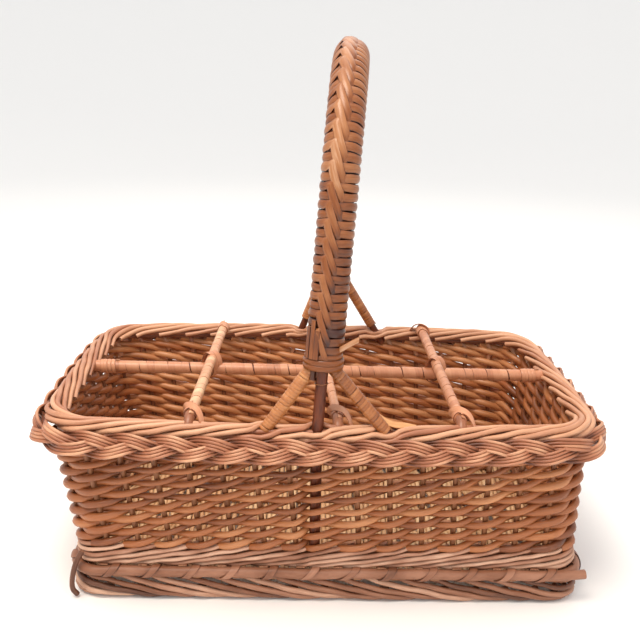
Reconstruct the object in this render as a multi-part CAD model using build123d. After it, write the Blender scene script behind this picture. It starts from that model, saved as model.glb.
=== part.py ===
from build123d import *
import math
import os

# A wicker bottle carrier: a low woven box with a bow handle and lashed dividers across its mouth.
# Millimetres. +Z is up, -Y is the front, and the origin is on the ground under the middle.

# Plan of the wall's middle line, where the wall starts and where it ends
wall_bottom = 32.0
wall_top = 129.0
bottom_half_length = 195.5
top_half_length = 209.5
bottom_half_width = 109.5
top_half_width = 122.0
bottom_corner = 14.0
top_corner = 34.0
bottom_long_bulge = 1.0
top_long_bulge = 11.0
bottom_short_bulge = 0.5
top_short_bulge = 4.0
bottom_shift = 8.0

# Wall and rim
wall_thickness = 15.5
wale_top = 44.0
wale_proud = 1.2
stake_count = 48
stake_diameter = 4.4
stake_end_gap = 0.6
slot_length = 12.0
slot_height = 4.5
slot_levels = (60.0, 78.0, 96.0, 114.0)
rim_top = 156.0
roll_width = 16.0
roll_round = 7.0
plait_width = 12.7
plait_top = 151.0
plait_round = 5.5

# Foot and base
foot_height = 18.0
foot_inside = 9.0
foot_outside = 11.5
foot_round = 4.0
hoop_diameter = 8.6
hoop_level = 25.2
hoop_offset = 8.6
tie_count = 38
tie_wire = 1.7
tie_pitch = 2.4
tie_turns = 1.5
base_level = 22.6
base_inset = 5.5
base_stick_diameter = 5.0
base_stick_count = 5
base_stick_spacing = 36.0
base_stick_inset = 9.5
base_band_count = 21
base_band_pitch = 17.6
base_band_width = 17.0
base_band_thickness = 4.2
base_band_rest = 14.0
base_band_clear = 0.6
base_band_flat = 7.0
base_band_bend = 12.0

# Handle: its feet are skewed a little across the middle, it leans to the right, and its braces join it
# higher at the back than at the front
handle_front_x = -4.2
handle_back_x = 10.0
handle_lean = 3.25
handle_seat = 150.0
handle_top = 434.0
leg_half_span = top_half_width
shoulder_half_span = 86.0
arch_radius = 96.0
leg_bottom = 36.0
leg_bend = 60.0
core_diameter = 8.6
side_rod_diameter = 7.0
wrap_outer = 28.0
leader_thickness = 1.6
leader_half_angle = 29.0
brace_feet_x = {"front": {"left": -45.9, "right": 58.5}, "back": {"left": -19.2, "right": 67.0}}
brace_foot = 143.0
brace_bend_level = {"front": 198.8, "back": 213.8}
brace_bend = 7.0
brace_wire = 1.7
brace_pitch = 2.15
brace_turns = 17
brace_wrap_level = 163.4
collar_wire = 2.8
collar_pitch = 3.25
collar_turns = 3
collar_level = {"front": 201.0, "back": 216.0}
wrap_level = {"front": 214.0, "back": 229.0}
filler_level = {"front": 190.0, "back": 205.0}

# Dividers
cross_diameter = {"left": 9.0, "middle": 7.5, "right": 9.0}
long_diameter = 11.0
sleeve_thickness = 1.2
cross_level = 157.0
cross_half_length = 116.0
cross_tip_reach = 8.0
cross_tip_drop = 12.0
cross_bend = 7.0
sleeve_inset = 0.02
cross_front_x = {"left": -100.0, "middle": 11.5, "right": 104.5}
cross_back_x = {"left": -95.5, "middle": -2.0, "right": 105.0}
long_half_length = 212.0
long_left_y = 17.0
long_right_y = 11.5
lash_wire = 2.2
lash_pitch = 2.7
whipping_turns = 4
cross_whipping_inset = 15.0
long_whipping_inset = 29.0
crossing_turns = 2
crossing_radius = 13.6

# Clearances: between neighbours, and of a rod in its hole
gap = 0.2
hole_gap = 0.2
least_winding_gap = 0.4

# Steps for measuring: along a winding in its radii, and round the plan as a share of its length
winding_step = 1 / 3
plan_step = 0.001


def between(low, high, share):
    return low + (high - low) * share


def plan(level, offset):
    # The plan at a level, a distance outside the wall's middle line: four bulged sides and four
    # round corners, as arcs of (centre x, centre y, radius, start angle, turn), counter-clockwise
    # from the left end of the front. The wall starts a little to the right of where it ends.
    share = min(max((level - wall_bottom) / (wall_top - wall_bottom), 0.0), 1.0)
    half_length = between(bottom_half_length, top_half_length, share) + offset
    half_width = between(bottom_half_width, top_half_width, share) + offset
    corner = between(bottom_corner, top_corner, share) + offset
    long_bulge = between(bottom_long_bulge, top_long_bulge, share)
    short_bulge = between(bottom_short_bulge, top_short_bulge, share)
    middle = between(bottom_shift, 0.0, share)
    long_radius = (half_length**2 + long_bulge**2) / (2 * long_bulge)
    short_radius = (half_width**2 + short_bulge**2) / (2 * short_bulge)
    long_centre = Vector(0, half_width - long_radius)
    short_centre = Vector(half_length - short_radius, 0)
    # The corner's centre stands inside both sides, where two circles about their centres meet.
    reach_long = long_radius - corner
    reach_short = short_radius - corner
    apart = short_centre - long_centre
    along = (apart.length**2 + reach_long**2 - reach_short**2) / (2 * apart.length)
    away = math.sqrt(reach_long**2 - along**2)
    unit = apart.normalized()
    centre = long_centre + unit * along + Vector(unit.Y, -unit.X) * away
    long_turn = math.degrees(math.atan2(centre.X, centre.Y - long_centre.Y))
    short_turn = math.degrees(math.atan2(centre.Y, centre.X - short_centre.X))
    corner_turn = 90.0 - long_turn - short_turn
    return [
        (middle, -long_centre.Y, long_radius, 270 - long_turn, 2 * long_turn),
        (middle + centre.X, -centre.Y, corner, 270 + long_turn, corner_turn),
        (middle + short_centre.X, 0, short_radius, -short_turn, 2 * short_turn),
        (middle + centre.X, centre.Y, corner, short_turn, corner_turn),
        (middle, long_centre.Y, long_radius, 90 - long_turn, 2 * long_turn),
        (middle - centre.X, centre.Y, corner, 90 + long_turn, corner_turn),
        (middle - short_centre.X, 0, short_radius, 180 - short_turn, 2 * short_turn),
        (middle - centre.X, -centre.Y, corner, 180 + short_turn, corner_turn),
    ]


def plan_wire(level, offset, height):
    arcs = [
        CenterArc((x, y, height), radius, start, turn)
        for x, y, radius, start, turn in plan(level, offset)
    ]
    return Wire([edge for arc in arcs for edge in arc.edges()])


def plan_point(level, offset, share):
    # A point at a share of the way round the plan, from the middle of the front, and the number
    # of the arc that it is on.
    arcs = plan(level, offset)
    lengths = [radius * math.radians(turn) for _, _, radius, _, turn in arcs]
    rest = (share * sum(lengths) + lengths[0] / 2) % sum(lengths)
    place = 0
    while rest > lengths[place]:
        rest -= lengths[place]
        place += 1
    x, y, radius, start, turn = arcs[place]
    angle = math.radians(start + turn * rest / lengths[place])
    point = Vector(x + radius * math.cos(angle), y + radius * math.sin(angle), level)
    return point, place


def band(low, high, inside, outside):
    # A ring of the wall between two levels, from inside to outside the middle line.
    def prism(offset):
        ends = [Face(plan_wire(level, offset, level)) for level in (low, high)]
        return Solid.make_loft([end.outer_wire() for end in ends], ruled=True)

    return prism(outside) - prism(-inside)


def ring(level, section):
    # A section drawn as (outside, up) and carried round the plan at a level.
    path = plan_wire(level, 0, 0)
    forward = path % 0
    outward = Vector(forward.Y, -forward.X, 0)
    start = Plane(origin=path @ 0, x_dir=outward, z_dir=-forward)
    return sweep(start * section, path=path)


def box_section(inside, outside, low, high):
    middle = ((inside + outside) / 2, (low + high) / 2)
    return Pos(*middle) * Rectangle(outside - inside, high - low)


def base_band(number):
    # A flat band of rods across the bottom, over one stick and under the next; its neighbours go the
    # other way round, and its ends lie on the foot border.
    rise = (base_stick_diameter + base_band_thickness) / 2 + base_band_clear
    rest = foot_height + gap + base_band_thickness / 2
    middle = (base_stick_count - 1) / 2
    rest_y = bottom_half_width - base_inset - base_band_rest
    line = [(-bottom_half_width, rest), (-rest_y, rest)]
    for stick in range(base_stick_count):
        stick_y = (stick - middle) * base_stick_spacing
        level = base_level + rise * (-1) ** (stick + number)
        line += [(stick_y - base_band_flat / 2, level), (stick_y + base_band_flat / 2, level)]
    line += [(rest_y, rest), (bottom_half_width, rest)]
    edges = []
    corners = []
    for side in (1, -1):
        lift = side * base_band_thickness / 2
        wave = FilletPolyline(*[(0, y, level + lift) for y, level in line], radius=base_band_bend)
        edges += wave.edges()
        corners.append([wave @ 0, wave @ 1])
    edges += [Line(top, bottom).edge() for top, bottom in zip(*corners)]
    face = make_face(edges)
    x = bottom_shift + (number - (base_band_count - 1) / 2) * base_band_pitch
    return Pos(x - base_band_width / 2, 0, 0) * extrude(face, base_band_width, dir=(1, 0, 0))


def straight_rod(start, end, diameter):
    line = Vector(end) - Vector(start)
    return Solid.make_cylinder(diameter / 2, line.length, Plane(origin=start, z_dir=line))


def bent_rod(points, diameter, bends):
    path = FilletPolyline(*points, radius=bends)
    start = Plane(origin=path @ 0, z_dir=path % 0)
    return sweep(start * Circle(diameter / 2), path=path)


def winding(name, plane, radius, turns, pitch, wire):
    # One unbroken tube round the plane's Z axis: half circles that each climb half a pitch, with
    # a straight end of one wire diameter on both sides.
    start = Vector(radius, 0, 0)
    edges = [Line(start - Vector(0, wire, 0), start)]
    side = 1
    for _ in range(round(2 * turns)):
        middle = Vector(0, side * math.hypot(radius, pitch / 4), start.Z + pitch / 4)
        end = Vector(-start.X, 0, start.Z + pitch / 2)
        edges.append(ThreePointArc(start, middle, end))
        start = end
        side = -side
    edges.append(Line(start, start + Vector(0, side * wire, 0)))
    path = Wire([edge for line in edges for edge in line.edges()])
    clear = winding_gap(path, radius, wire)
    print(f"{name}: {turns} turns, least gap to itself {clear:.2f} mm")
    if clear < least_winding_gap:
        raise ValueError(f"{name} touches itself")
    tube = sweep(Plane(origin=path @ 0, z_dir=path % 0) * Circle(wire / 2), path=path)
    return tube.moved(plane.location)


def winding_gap(path, radius, wire):
    # The least distance between points of the tube that are at least half a turn apart, less the wire.
    steps = math.ceil(path.length / (radius * winding_step))
    points = [path.position_at(step / steps) for step in range(steps + 1)]
    half_turn = math.ceil(math.pi * radius / (path.length / steps))
    return min(
        (points[far] - points[near]).length
        for near in range(len(points))
        for far in range(near + half_turn, len(points))
    ) - wire


def save(name, *shapes):
    solids = [solid for shape in shapes for solid in shape.solids()]
    export_step(Compound(children=solids) if len(solids) > 1 else solids[0], f"parts/{name}.step")


# The handle's own plane: its X runs from front to back, its Y up the bow and its Z to the right.
handle_yaw = math.atan2(handle_back_x - handle_front_x, 2 * leg_half_span)
lean = math.radians(handle_lean)
handle_across = Vector(math.cos(handle_yaw), -math.sin(handle_yaw), 0)
handle_plane = Plane(
    origin=((handle_front_x + handle_back_x) / 2, 0, handle_seat),
    x_dir=(math.sin(handle_yaw), math.cos(handle_yaw), 0),
    z_dir=handle_across * math.cos(lean) - Vector(0, 0, math.sin(lean)),
)
bow_rise = handle_top - handle_seat - wrap_outer / 2 - leader_thickness
leg_slope = math.atan2(leg_half_span - shoulder_half_span, bow_rise)
ends_of_bow = {"front": -1, "back": 1}
sides_of_bow = {"left": -1, "right": 1}
rod_pitch = (core_diameter + side_rod_diameter) / 2 + gap / 2
bundle_radius = rod_pitch + side_rod_diameter / 2


def on_leg(level, offset, end):
    # A point of the front (-1) or back (1) leg's line, moved outward in the handle's plane.
    up = level - handle_seat
    out = leg_half_span - up * math.tan(leg_slope) + offset / math.cos(leg_slope)
    return Vector(end * out, up, 0)


def in_place(points):
    return [handle_plane.from_local_coords(point) for point in points]


def bow(low_levels, offset):
    # The bow's corners from the front leg to the back leg, and the radii that round its shoulders.
    crown = handle_seat + bow_rise + offset
    corners = [
        on_leg(low_levels["front"], offset, -1),
        on_leg(crown, offset, -1),
        on_leg(crown, offset, 1),
        on_leg(low_levels["back"], offset, 1),
    ]
    return corners, [arch_radius + offset, arch_radius + offset]


def core_points():
    corners, bends = bow({"front": handle_seat, "back": handle_seat}, 0)
    low_half_width = between(
        bottom_half_width, top_half_width, (leg_bottom - wall_bottom) / (wall_top - wall_bottom)
    )
    # In the wall the legs stand upright, so their feet are moved back by the handle's lean.
    down = handle_seat - leg_bottom
    feet = [Vector(end * low_half_width, -down, down * math.tan(lean)) for end in (-1, 1)]
    return in_place([feet[0], *corners, feet[1]]), [leg_bend, *bends, leg_bend]


def brace_foot_point(end_name, side_name):
    end = ends_of_bow[end_name]
    leg_x = handle_front_x if end_name == "front" else handle_back_x
    spread = brace_feet_x[end_name][side_name] - leg_x
    return Vector(end * leg_half_span, brace_foot - handle_seat, spread)


def side_rod_points(side_name):
    corners, bends = bow(brace_bend_level, 0)
    aside = Vector(0, 0, sides_of_bow[side_name] * rod_pitch)
    feet = [brace_foot_point(end_name, side_name) for end_name in ends_of_bow]
    points = [feet[0], *[corner + aside for corner in corners], feet[1]]
    return in_place(points), [brace_bend, *bends, brace_bend]


def handle_sections():
    # The bow's path above the collars, with the plane of its first section: X to the right and
    # -Y outward.
    corners, bends = bow(wrap_level, 0)
    path = FilletPolyline(*in_place(corners), radius=bends)
    return path, Plane(origin=path @ 0, x_dir=handle_plane.z_dir, z_dir=path % 0)


def handle_wrap():
    path, start = handle_sections()
    tube = Circle(wrap_outer / 2) - Circle(bundle_radius + gap)
    return sweep(start * tube, path=path)


def handle_leader():
    path, start = handle_sections()
    inner = wrap_outer / 2 + gap / 2
    outer = wrap_outer / 2 + leader_thickness
    from_angle = 270 - leader_half_angle
    inner_arc = CenterArc((0, 0), inner, from_angle, 2 * leader_half_angle)
    outer_arc = CenterArc((0, 0), outer, from_angle, 2 * leader_half_angle)
    sides = [Line(inner_arc @ 0, outer_arc @ 0), Line(inner_arc @ 1, outer_arc @ 1)]
    strip = make_face([*inner_arc.edges(), *outer_arc.edges(), *sides[0].edges(), *sides[1].edges()])
    return sweep(start * strip, path=path)


def collar(end_name):
    end = ends_of_bow[end_name]
    foot, top = in_place([on_leg(collar_level[end_name], 0, end), on_leg(handle_top, 0, end)])
    plane = Plane(origin=foot, x_dir=handle_plane.z_dir, z_dir=top - foot)
    radius = bundle_radius + gap + collar_wire / 2
    return winding(f"{end_name} collar", plane, radius, collar_turns, collar_pitch, collar_wire)


def brace_wrap(end_name, side_name):
    aside = Vector(0, 0, sides_of_bow[side_name] * rod_pitch)
    bend_level = brace_bend_level[end_name]
    bend = on_leg(bend_level, 0, ends_of_bow[end_name]) + aside
    foot = brace_foot_point(end_name, side_name)
    share = (brace_wrap_level - brace_foot) / (bend_level - brace_foot)
    start, top = in_place([foot + (bend - foot) * share, bend])
    plane = Plane(origin=start, x_dir=handle_plane.x_dir, z_dir=top - start)
    radius = side_rod_diameter / 2 + gap / 2 + brace_wire / 2
    name = f"{end_name} {side_name} brace wrap"
    return winding(name, plane, radius, brace_turns, brace_pitch, brace_wire)


def sleeve(start, end, diameter):
    # The cane wound flat on a divider, as a thin tube.
    return straight_rod(start, end, diameter) - straight_rod(start, end, diameter - 2 * sleeve_thickness)


def whipping(name, end, far_end, diameter, inset):
    # The binding round a divider, ending a set distance from the divider's own end.
    inward = (Vector(far_end) - Vector(end)).normalized()
    length = whipping_turns * lash_pitch
    plane = Plane(origin=Vector(end) + inward * (inset - length), z_dir=inward)
    radius = diameter / 2 + gap / 2 + lash_wire / 2
    return winding(name, plane, radius, whipping_turns, lash_pitch, lash_wire)


os.makedirs("parts", exist_ok=True)

# Lines of the stakes, one for each place round the wall but the two that the handle's legs take
stakes = {"front": [], "corner": [], "right": [], "back": [], "left": []}
sides = ["front", "corner", "right", "corner", "back", "corner", "left", "corner"]
stake_holes = []
leg_places = (0, stake_count // 2)
for number in range(stake_count):
    if number in leg_places:
        continue
    low, place = plan_point(wall_bottom, 0, number / stake_count)
    high, _ = plan_point(wall_top, 0, number / stake_count)
    rise = (high - low) / (wall_top - wall_bottom)
    foot = low - rise * (wall_bottom - foot_height - stake_end_gap)
    stakes[sides[place]].append(straight_rod(foot, high - rise * stake_end_gap, stake_diameter))
    stake_holes.append(straight_rod(foot, high + rise, stake_diameter + 2 * hole_gap))

# Foot and base
foot_section = box_section(-foot_inside, foot_outside, 0, foot_height)
foot_section = fillet(foot_section.vertices().group_by(Axis.X)[-1], foot_round)
save("foot_border", ring(wall_bottom, foot_section))
hoop_path = plan_wire(wall_bottom, hoop_offset, hoop_level)
hoop_start = Plane(origin=hoop_path @ 0, z_dir=hoop_path % 0)
save("foot_hoop", sweep(hoop_start * Circle(hoop_diameter / 2), path=hoop_path))

ties = []
tie_radius = hoop_diameter / 2 + gap / 2 + tie_wire / 2
for number in range(tie_count):
    share = (number + 0.5) / tie_count
    point, _ = plan_point(wall_bottom, hoop_offset, share)
    ahead, _ = plan_point(wall_bottom, hoop_offset, share + plan_step)
    along = ahead - point
    place = Plane(origin=(point.X, point.Y, hoop_level), x_dir=(0, 0, 1), z_dir=along)
    ties.append(winding(f"foot tie {number + 1}", place, tie_radius, tie_turns, tie_pitch, tie_wire))
save("foot_ties", *ties)

stick_half = bottom_half_length - base_stick_inset
sticks = []
for number in range(base_stick_count):
    aside = (number - (base_stick_count - 1) / 2) * base_stick_spacing
    ends = [(bottom_shift + end * stick_half, aside, base_level) for end in (-1, 1)]
    sticks.append(straight_rod(*ends, base_stick_diameter))
save("base_sticks", *sticks)
base_plan = extrude(Face(plan_wire(wall_bottom, -base_inset, 0)), wall_bottom, dir=(0, 0, 1))
save("base_weave", *[base_band(number) & base_plan for number in range(base_band_count)])

# Handle rods
core = bent_rod(core_points()[0], core_diameter, core_points()[1])
core_hole = bent_rod(core_points()[0], core_diameter + 2 * hole_gap, core_points()[1])
side_rod_holes = []
for name in sides_of_bow:
    points, bends = side_rod_points(name)
    save(f"handle_{name}_rod", bent_rod(points, side_rod_diameter, bends))
    for foot, bend in ((points[0], points[1]), (points[-1], points[-2])):
        below = foot + (foot - bend).normalized() * gap
        side_rod_holes.append(straight_rod(below, bend, side_rod_diameter + 2 * hole_gap))
save("handle_core", core)
for name, offset in (("outer", rod_pitch), ("inner", -rod_pitch)):
    corners, bends = bow(filler_level, offset)
    save(f"handle_{name}_filler", bent_rod(in_place(corners), side_rod_diameter, bends))
save("handle_wrap", handle_wrap())
save("handle_leader", handle_leader())
for end_name in ends_of_bow:
    save(f"{end_name}_collar", collar(end_name))
    for side_name in sides_of_bow:
        save(f"{end_name}_{side_name}_brace_wrap", brace_wrap(end_name, side_name))

# Dividers: the crosswise rods lie over the lengthwise one
long_level = cross_level - max(cross_diameter.values()) / 2 - long_diameter / 2 - gap
long_ends = [
    Vector(-long_half_length, long_left_y, long_level),
    Vector(long_half_length, long_right_y, long_level),
]
long_direction = (long_ends[1] - long_ends[0]).normalized()
divider_holes = [straight_rod(*long_ends, long_diameter + 2 * hole_gap)]
save("long_divider", straight_rod(*long_ends, long_diameter - 2 * sleeve_thickness - gap))
save("long_divider_sleeve", sleeve(*long_ends, long_diameter))
for end_name, end, far in (("left", 0, 1), ("right", 1, 0)):
    node = f"long_divider_{end_name}_whipping"
    label = node.replace("_", " ")
    save(node, whipping(label, long_ends[end], long_ends[far], long_diameter, long_whipping_inset))
for name, diameter in cross_diameter.items():
    ends = [
        Vector(cross_front_x[name], -cross_half_length, cross_level),
        Vector(cross_back_x[name], cross_half_length, cross_level),
    ]
    # The rod's bare ends bend down into the rim.
    front_tip = ends[0] + Vector(0, -cross_tip_reach, -cross_tip_drop)
    back_tip = ends[1] + Vector(0, cross_tip_reach, -cross_tip_drop)
    points = [front_tip, *ends, back_tip]
    rod_diameter = diameter - 2 * sleeve_thickness - gap
    divider_holes.append(straight_rod(*ends, diameter + 2 * hole_gap))
    divider_holes.append(bent_rod(points, rod_diameter + 2 * hole_gap, cross_bend))
    save(f"{name}_divider", bent_rod(points, rod_diameter, cross_bend))
    sleeve_ends = [between(ends[0], ends[1], share) for share in (sleeve_inset, 1 - sleeve_inset)]
    save(f"{name}_divider_sleeve", sleeve(*sleeve_ends, diameter))
    for end_name, end, far in (("front", 0, 1), ("back", 1, 0)):
        node = f"{name}_divider_{end_name}_whipping"
        label = node.replace("_", " ")
        save(node, whipping(label, sleeve_ends[end], sleeve_ends[far], diameter, cross_whipping_inset))
    # The lashing goes round both rods where they cross, slanting between them.
    middle_x = (cross_front_x[name] + cross_back_x[name]) / 2
    long_share = (middle_x + long_half_length) / (2 * long_half_length)
    crossing_y = between(long_left_y, long_right_y, long_share)
    crossing_share = (crossing_y + cross_half_length) / (2 * cross_half_length)
    crossing_x = between(cross_front_x[name], cross_back_x[name], crossing_share)
    crossing_level = (cross_level + diameter / 2 + long_level - long_diameter / 2) / 2
    slant = (long_direction + (ends[1] - ends[0]).normalized()).normalized()
    start = Vector(crossing_x, crossing_y, crossing_level) - slant * (crossing_turns * lash_pitch / 2)
    plane = Plane(origin=start, x_dir=(0, 0, 1), z_dir=slant)
    node = f"{name}_crossing_lashing"
    label = node.replace("_", " ")
    save(node, winding(label, plane, crossing_radius, crossing_turns, lash_pitch, lash_wire))

# Wall and rim, with holes where rods go through or into them
half_wall = wall_thickness / 2
save("bottom_wale", band(wall_bottom, wale_top, half_wall, half_wall + wale_proud) - stake_holes - core_hole)
# The gaps in the weave are a plain grid of slots: in every other bay between the stakes, but none
# beside the handle's legs.
slots = []
leg_bays = [place + side for place in leg_places for side in (-1, 0)]
for row, level in enumerate(slot_levels):
    for number in range(row % 2, stake_count, 2):
        if number in leg_bays or number - stake_count in leg_bays:
            continue
        share = (number + 0.5) / stake_count
        point, _ = plan_point(level, 0, share)
        ahead, _ = plan_point(level, 0, share + plan_step)
        place = Plane(origin=point, x_dir=ahead - point, z_dir=(0, 0, 1))
        slots.append(place * Box(slot_length, 2 * wall_thickness, slot_height))
weave = band(wale_top + gap, wall_top, half_wall, half_wall) - stake_holes - core_hole - slots
save("wall_weave", weave)
for name in stakes:
    save(f"{name}_stakes", *stakes[name])

roll_section = box_section(-roll_width / 2, roll_width / 2, wall_top + gap, rim_top)
roll_section = fillet(roll_section.vertices().group_by(Axis.Y)[-1], roll_round)
roll = ring(wall_top, roll_section) - core_hole - side_rod_holes - divider_holes
save("border_roll", roll)
plait_inside = roll_width / 2 + gap
plait_section = box_section(plait_inside, plait_inside + plait_width, wall_top, plait_top)
plait_section = fillet(plait_section.vertices().group_by(Axis.X)[-1], plait_round)
save("border_plait", ring(wall_top, plait_section))
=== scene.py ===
import math

import bpy
import numpy as np
from mathutils import Matrix


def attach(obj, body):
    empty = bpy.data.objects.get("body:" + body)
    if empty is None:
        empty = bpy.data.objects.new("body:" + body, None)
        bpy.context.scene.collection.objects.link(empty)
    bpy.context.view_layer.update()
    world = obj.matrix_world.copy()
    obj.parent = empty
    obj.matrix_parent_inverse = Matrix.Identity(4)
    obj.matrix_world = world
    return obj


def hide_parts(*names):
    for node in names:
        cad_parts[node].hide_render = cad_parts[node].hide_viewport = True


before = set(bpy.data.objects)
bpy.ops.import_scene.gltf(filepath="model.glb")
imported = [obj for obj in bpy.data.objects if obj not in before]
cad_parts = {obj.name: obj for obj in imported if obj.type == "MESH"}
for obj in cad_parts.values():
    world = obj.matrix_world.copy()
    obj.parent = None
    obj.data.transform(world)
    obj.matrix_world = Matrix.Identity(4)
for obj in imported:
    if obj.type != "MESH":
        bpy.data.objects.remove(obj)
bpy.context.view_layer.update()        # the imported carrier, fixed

mm = 0.001
upward = np.array([0.0, 0.0, 1.0])
dice = np.random.default_rng(48)     # one seed, so every run gives the same rods


# small helpers for whole arrays
def unit(vectors):
    # each vector over its own length
    return vectors / np.maximum(np.linalg.norm(vectors, axis=-1, keepdims=True), 1e-9)


def ease(low, high, value):
    # 0 below low, 1 above high, with a soft S between
    share = np.clip((value - low) / (high - low), 0, 1)
    return share * share * (3 - 2 * share)


def wander(rods, steps, size, waves):
    # slow unevenness along each rod: three sines with random phases, whole waves so that loops close
    way = np.arange(steps) / steps
    rate = np.round(waves * np.array([1.0, 1.7, 2.9]))[None, :, None]
    phase = dice.uniform(0, 2 * np.pi, (rods, 3, 1))
    return size * np.sin(2 * np.pi * rate * way + phase).sum(1) / 1.7


def through(keys, values, places):
    # a smooth line through key values: cubic with slopes taken from the neighbours
    keys, values = np.asarray(keys, float), np.asarray(values, float)
    slopes = np.gradient(values, keys)
    cell = np.clip(np.searchsorted(keys, places, side="right") - 1, 0, len(keys) - 2)
    width = keys[cell + 1] - keys[cell]
    t = np.clip((places - keys[cell]) / width, 0, 1)
    a, b, p, q = values[cell], values[cell + 1], slopes[cell] * width, slopes[cell + 1] * width
    return a + p * t + (3 * (b - a) - 2 * p - q) * t**2 + (2 * (a - b) + p + q) * t**3


def keyLines(piece, names, steps):
    # one smooth line for each name, through the piece's key values at even distances
    way = np.linspace(0, 1, steps)
    return [through(np.linspace(0, 1, len(piece[name])), piece[name], way) for name in names]


# the plan of the wall, as the part has it
box = {"low": 32.0, "high": 129.0, "halfLength": (195.5, 209.5), "halfWidth": (109.5, 122.0),
       "corner": (14.0, 34.0), "longBulge": (1.0, 11.0), "shortBulge": (0.5, 4.0), "shift": (8.0, 0.0),
       "stakes": 48, "bay": 26.0, "legX": (-4.2, 10.0), "planSteps": 4801}
planShare = np.linspace(0, 1, box["planSteps"])


def planCurve(end):
    # four bulged sides and four round corners: arcs that touch, walked counter-clockwise from the
    # middle of the front at equal steps; gives x, y and the outward normal
    length, width, corner, longBulge, shortBulge = (
        box[key][end] for key in ("halfLength", "halfWidth", "corner", "longBulge", "shortBulge"))
    longRadius = (length**2 + longBulge**2) / (2 * longBulge)
    shortRadius = (width**2 + shortBulge**2) / (2 * shortBulge)
    longCentre = np.array([0, width - longRadius])
    shortCentre = np.array([length - shortRadius, 0])
    apart = shortCentre - longCentre
    distance = np.hypot(*apart)
    along = (distance**2 + (longRadius - corner)**2 - (shortRadius - corner)**2) / (2 * distance)
    away = math.sqrt((longRadius - corner)**2 - along**2)
    cx, cy = longCentre + apart / distance * along + np.array([apart[1], -apart[0]]) / distance * away
    longTurn = math.atan2(cx, cy - longCentre[1])
    shortTurn = math.atan2(cy, cx - shortCentre[0])
    bend = math.pi / 2 - longTurn - shortTurn
    quarter = math.pi / 2
    arcs = np.array([
        (0, -longCentre[1], longRadius, 3 * quarter - longTurn, 2 * longTurn),
        (cx, -cy, corner, 3 * quarter + longTurn, bend),
        (shortCentre[0], 0, shortRadius, -shortTurn, 2 * shortTurn),
        (cx, cy, corner, shortTurn, bend),
        (0, longCentre[1], longRadius, quarter - longTurn, 2 * longTurn),
        (-cx, cy, corner, quarter + longTurn, bend),
        (-shortCentre[0], 0, shortRadius, 2 * quarter - shortTurn, 2 * shortTurn),
        (-cx, -cy, corner, 2 * quarter + shortTurn, bend)])
    lengths = arcs[:, 2] * arcs[:, 4]
    ends = np.cumsum(lengths)
    way = (planShare * ends[-1] + lengths[0] / 2) % ends[-1]
    arc = np.clip(np.searchsorted(ends, way, side="right"), 0, 7)
    angle = arcs[arc, 3] + (way - ends[arc] + lengths[arc]) / arcs[arc, 2]
    nx, ny = np.cos(angle), np.sin(angle)
    x = box["shift"][end] + arcs[arc, 0] + arcs[arc, 2] * nx
    return x, arcs[arc, 1] + arcs[arc, 2] * ny, nx, ny


planLow, planHigh = planCurve(0), planCurve(1)


def riseShare(level):
    # how far up the wall a level is: 0 on the low plan, 1 on the high one
    return np.clip((level - box["low"]) / (box["high"] - box["low"]), 0, 1)


def wallPoint(stake, level, out):
    # a straight line up the wall at every place round it, from the low plan to the high one, then
    # moved outward along the plan's normal
    stake, level, out = np.broadcast_arrays(stake, level, out)
    share = (stake / box["stakes"]) % 1.0
    rise = riseShare(level)
    x, y, nx, ny = (np.interp(share, planShare, low) * (1 - rise) + np.interp(share, planShare, high) * rise
                    for low, high in zip(planLow, planHigh))
    size = np.hypot(nx, ny)
    nx, ny = nx / size, ny / size
    return np.stack([x + nx * out, y + ny * out, level], -1), np.stack([nx, ny, 0 * nx], -1)


def fromFront(number):
    # how many stakes a place is from the middle of the front, the shorter way round
    half = box["stakes"] / 2
    return np.abs((number + half) % box["stakes"] - half)


def legNear(number):
    # 1 at a leg's place in the row of stakes, falling to 0 at its neighbours: front leg, back leg
    front = np.maximum(0, 1 - fromFront(number))
    back = np.maximum(0, 1 - np.abs(number % box["stakes"] - box["stakes"] / 2))
    return front, back


def legShift(level):
    # how far the front and back legs stand aside of the even spacing, in bays: they are upright, while
    # the plan moves as the wall goes up
    rise = riseShare(level)
    middle = box["shift"][0] * (1 - rise) + box["shift"][1] * rise
    return (box["legX"][0] - middle) / box["bay"], (middle - box["legX"][1]) / box["bay"]


def stakePlace(number, level):
    # the legs stand a little aside of the even spacing, and their neighbours' bays follow
    front, back = legNear(number)
    frontShift, backShift = legShift(level)
    return number + front * frontShift + back * backShift


def cornerFull(normal, more):
    # 1 along the sides and more at the corners, where the way outside is longer: the square of the sine
    # of twice the normal's angle
    return 1 + more * (2 * normal[..., 0] * normal[..., 1])**2


# meshes: the edges that stay sharp, and the length in mm that a rod's grain starts somewhere along
sharpAngle = math.radians(62)
grainShift = 900


def roundSection(sides):
    # points on a circle of radius 1
    turn = 2 * np.pi * np.arange(sides) / sides
    return np.stack([np.cos(turn), np.sin(turn)], -1)


def carry(path, guide, section, size, closed=False):
    # a section carried along each path: its first axis leans to the guide, its second lies aside
    if closed:
        tangent = unit(np.roll(path, -1, 1) - np.roll(path, 1, 1))
    else:
        tangent = unit(np.gradient(path, axis=1))
    aside = unit(np.cross(tangent, guide))
    toward = np.cross(aside, tangent)
    size = np.broadcast_to(size, path.shape[:2])[:, :, None, None]
    return (path[:, :, None] + size * section[:, 0][:, None] * toward[:, :, None]
            + size * section[:, 1][:, None] * aside[:, :, None])


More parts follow.
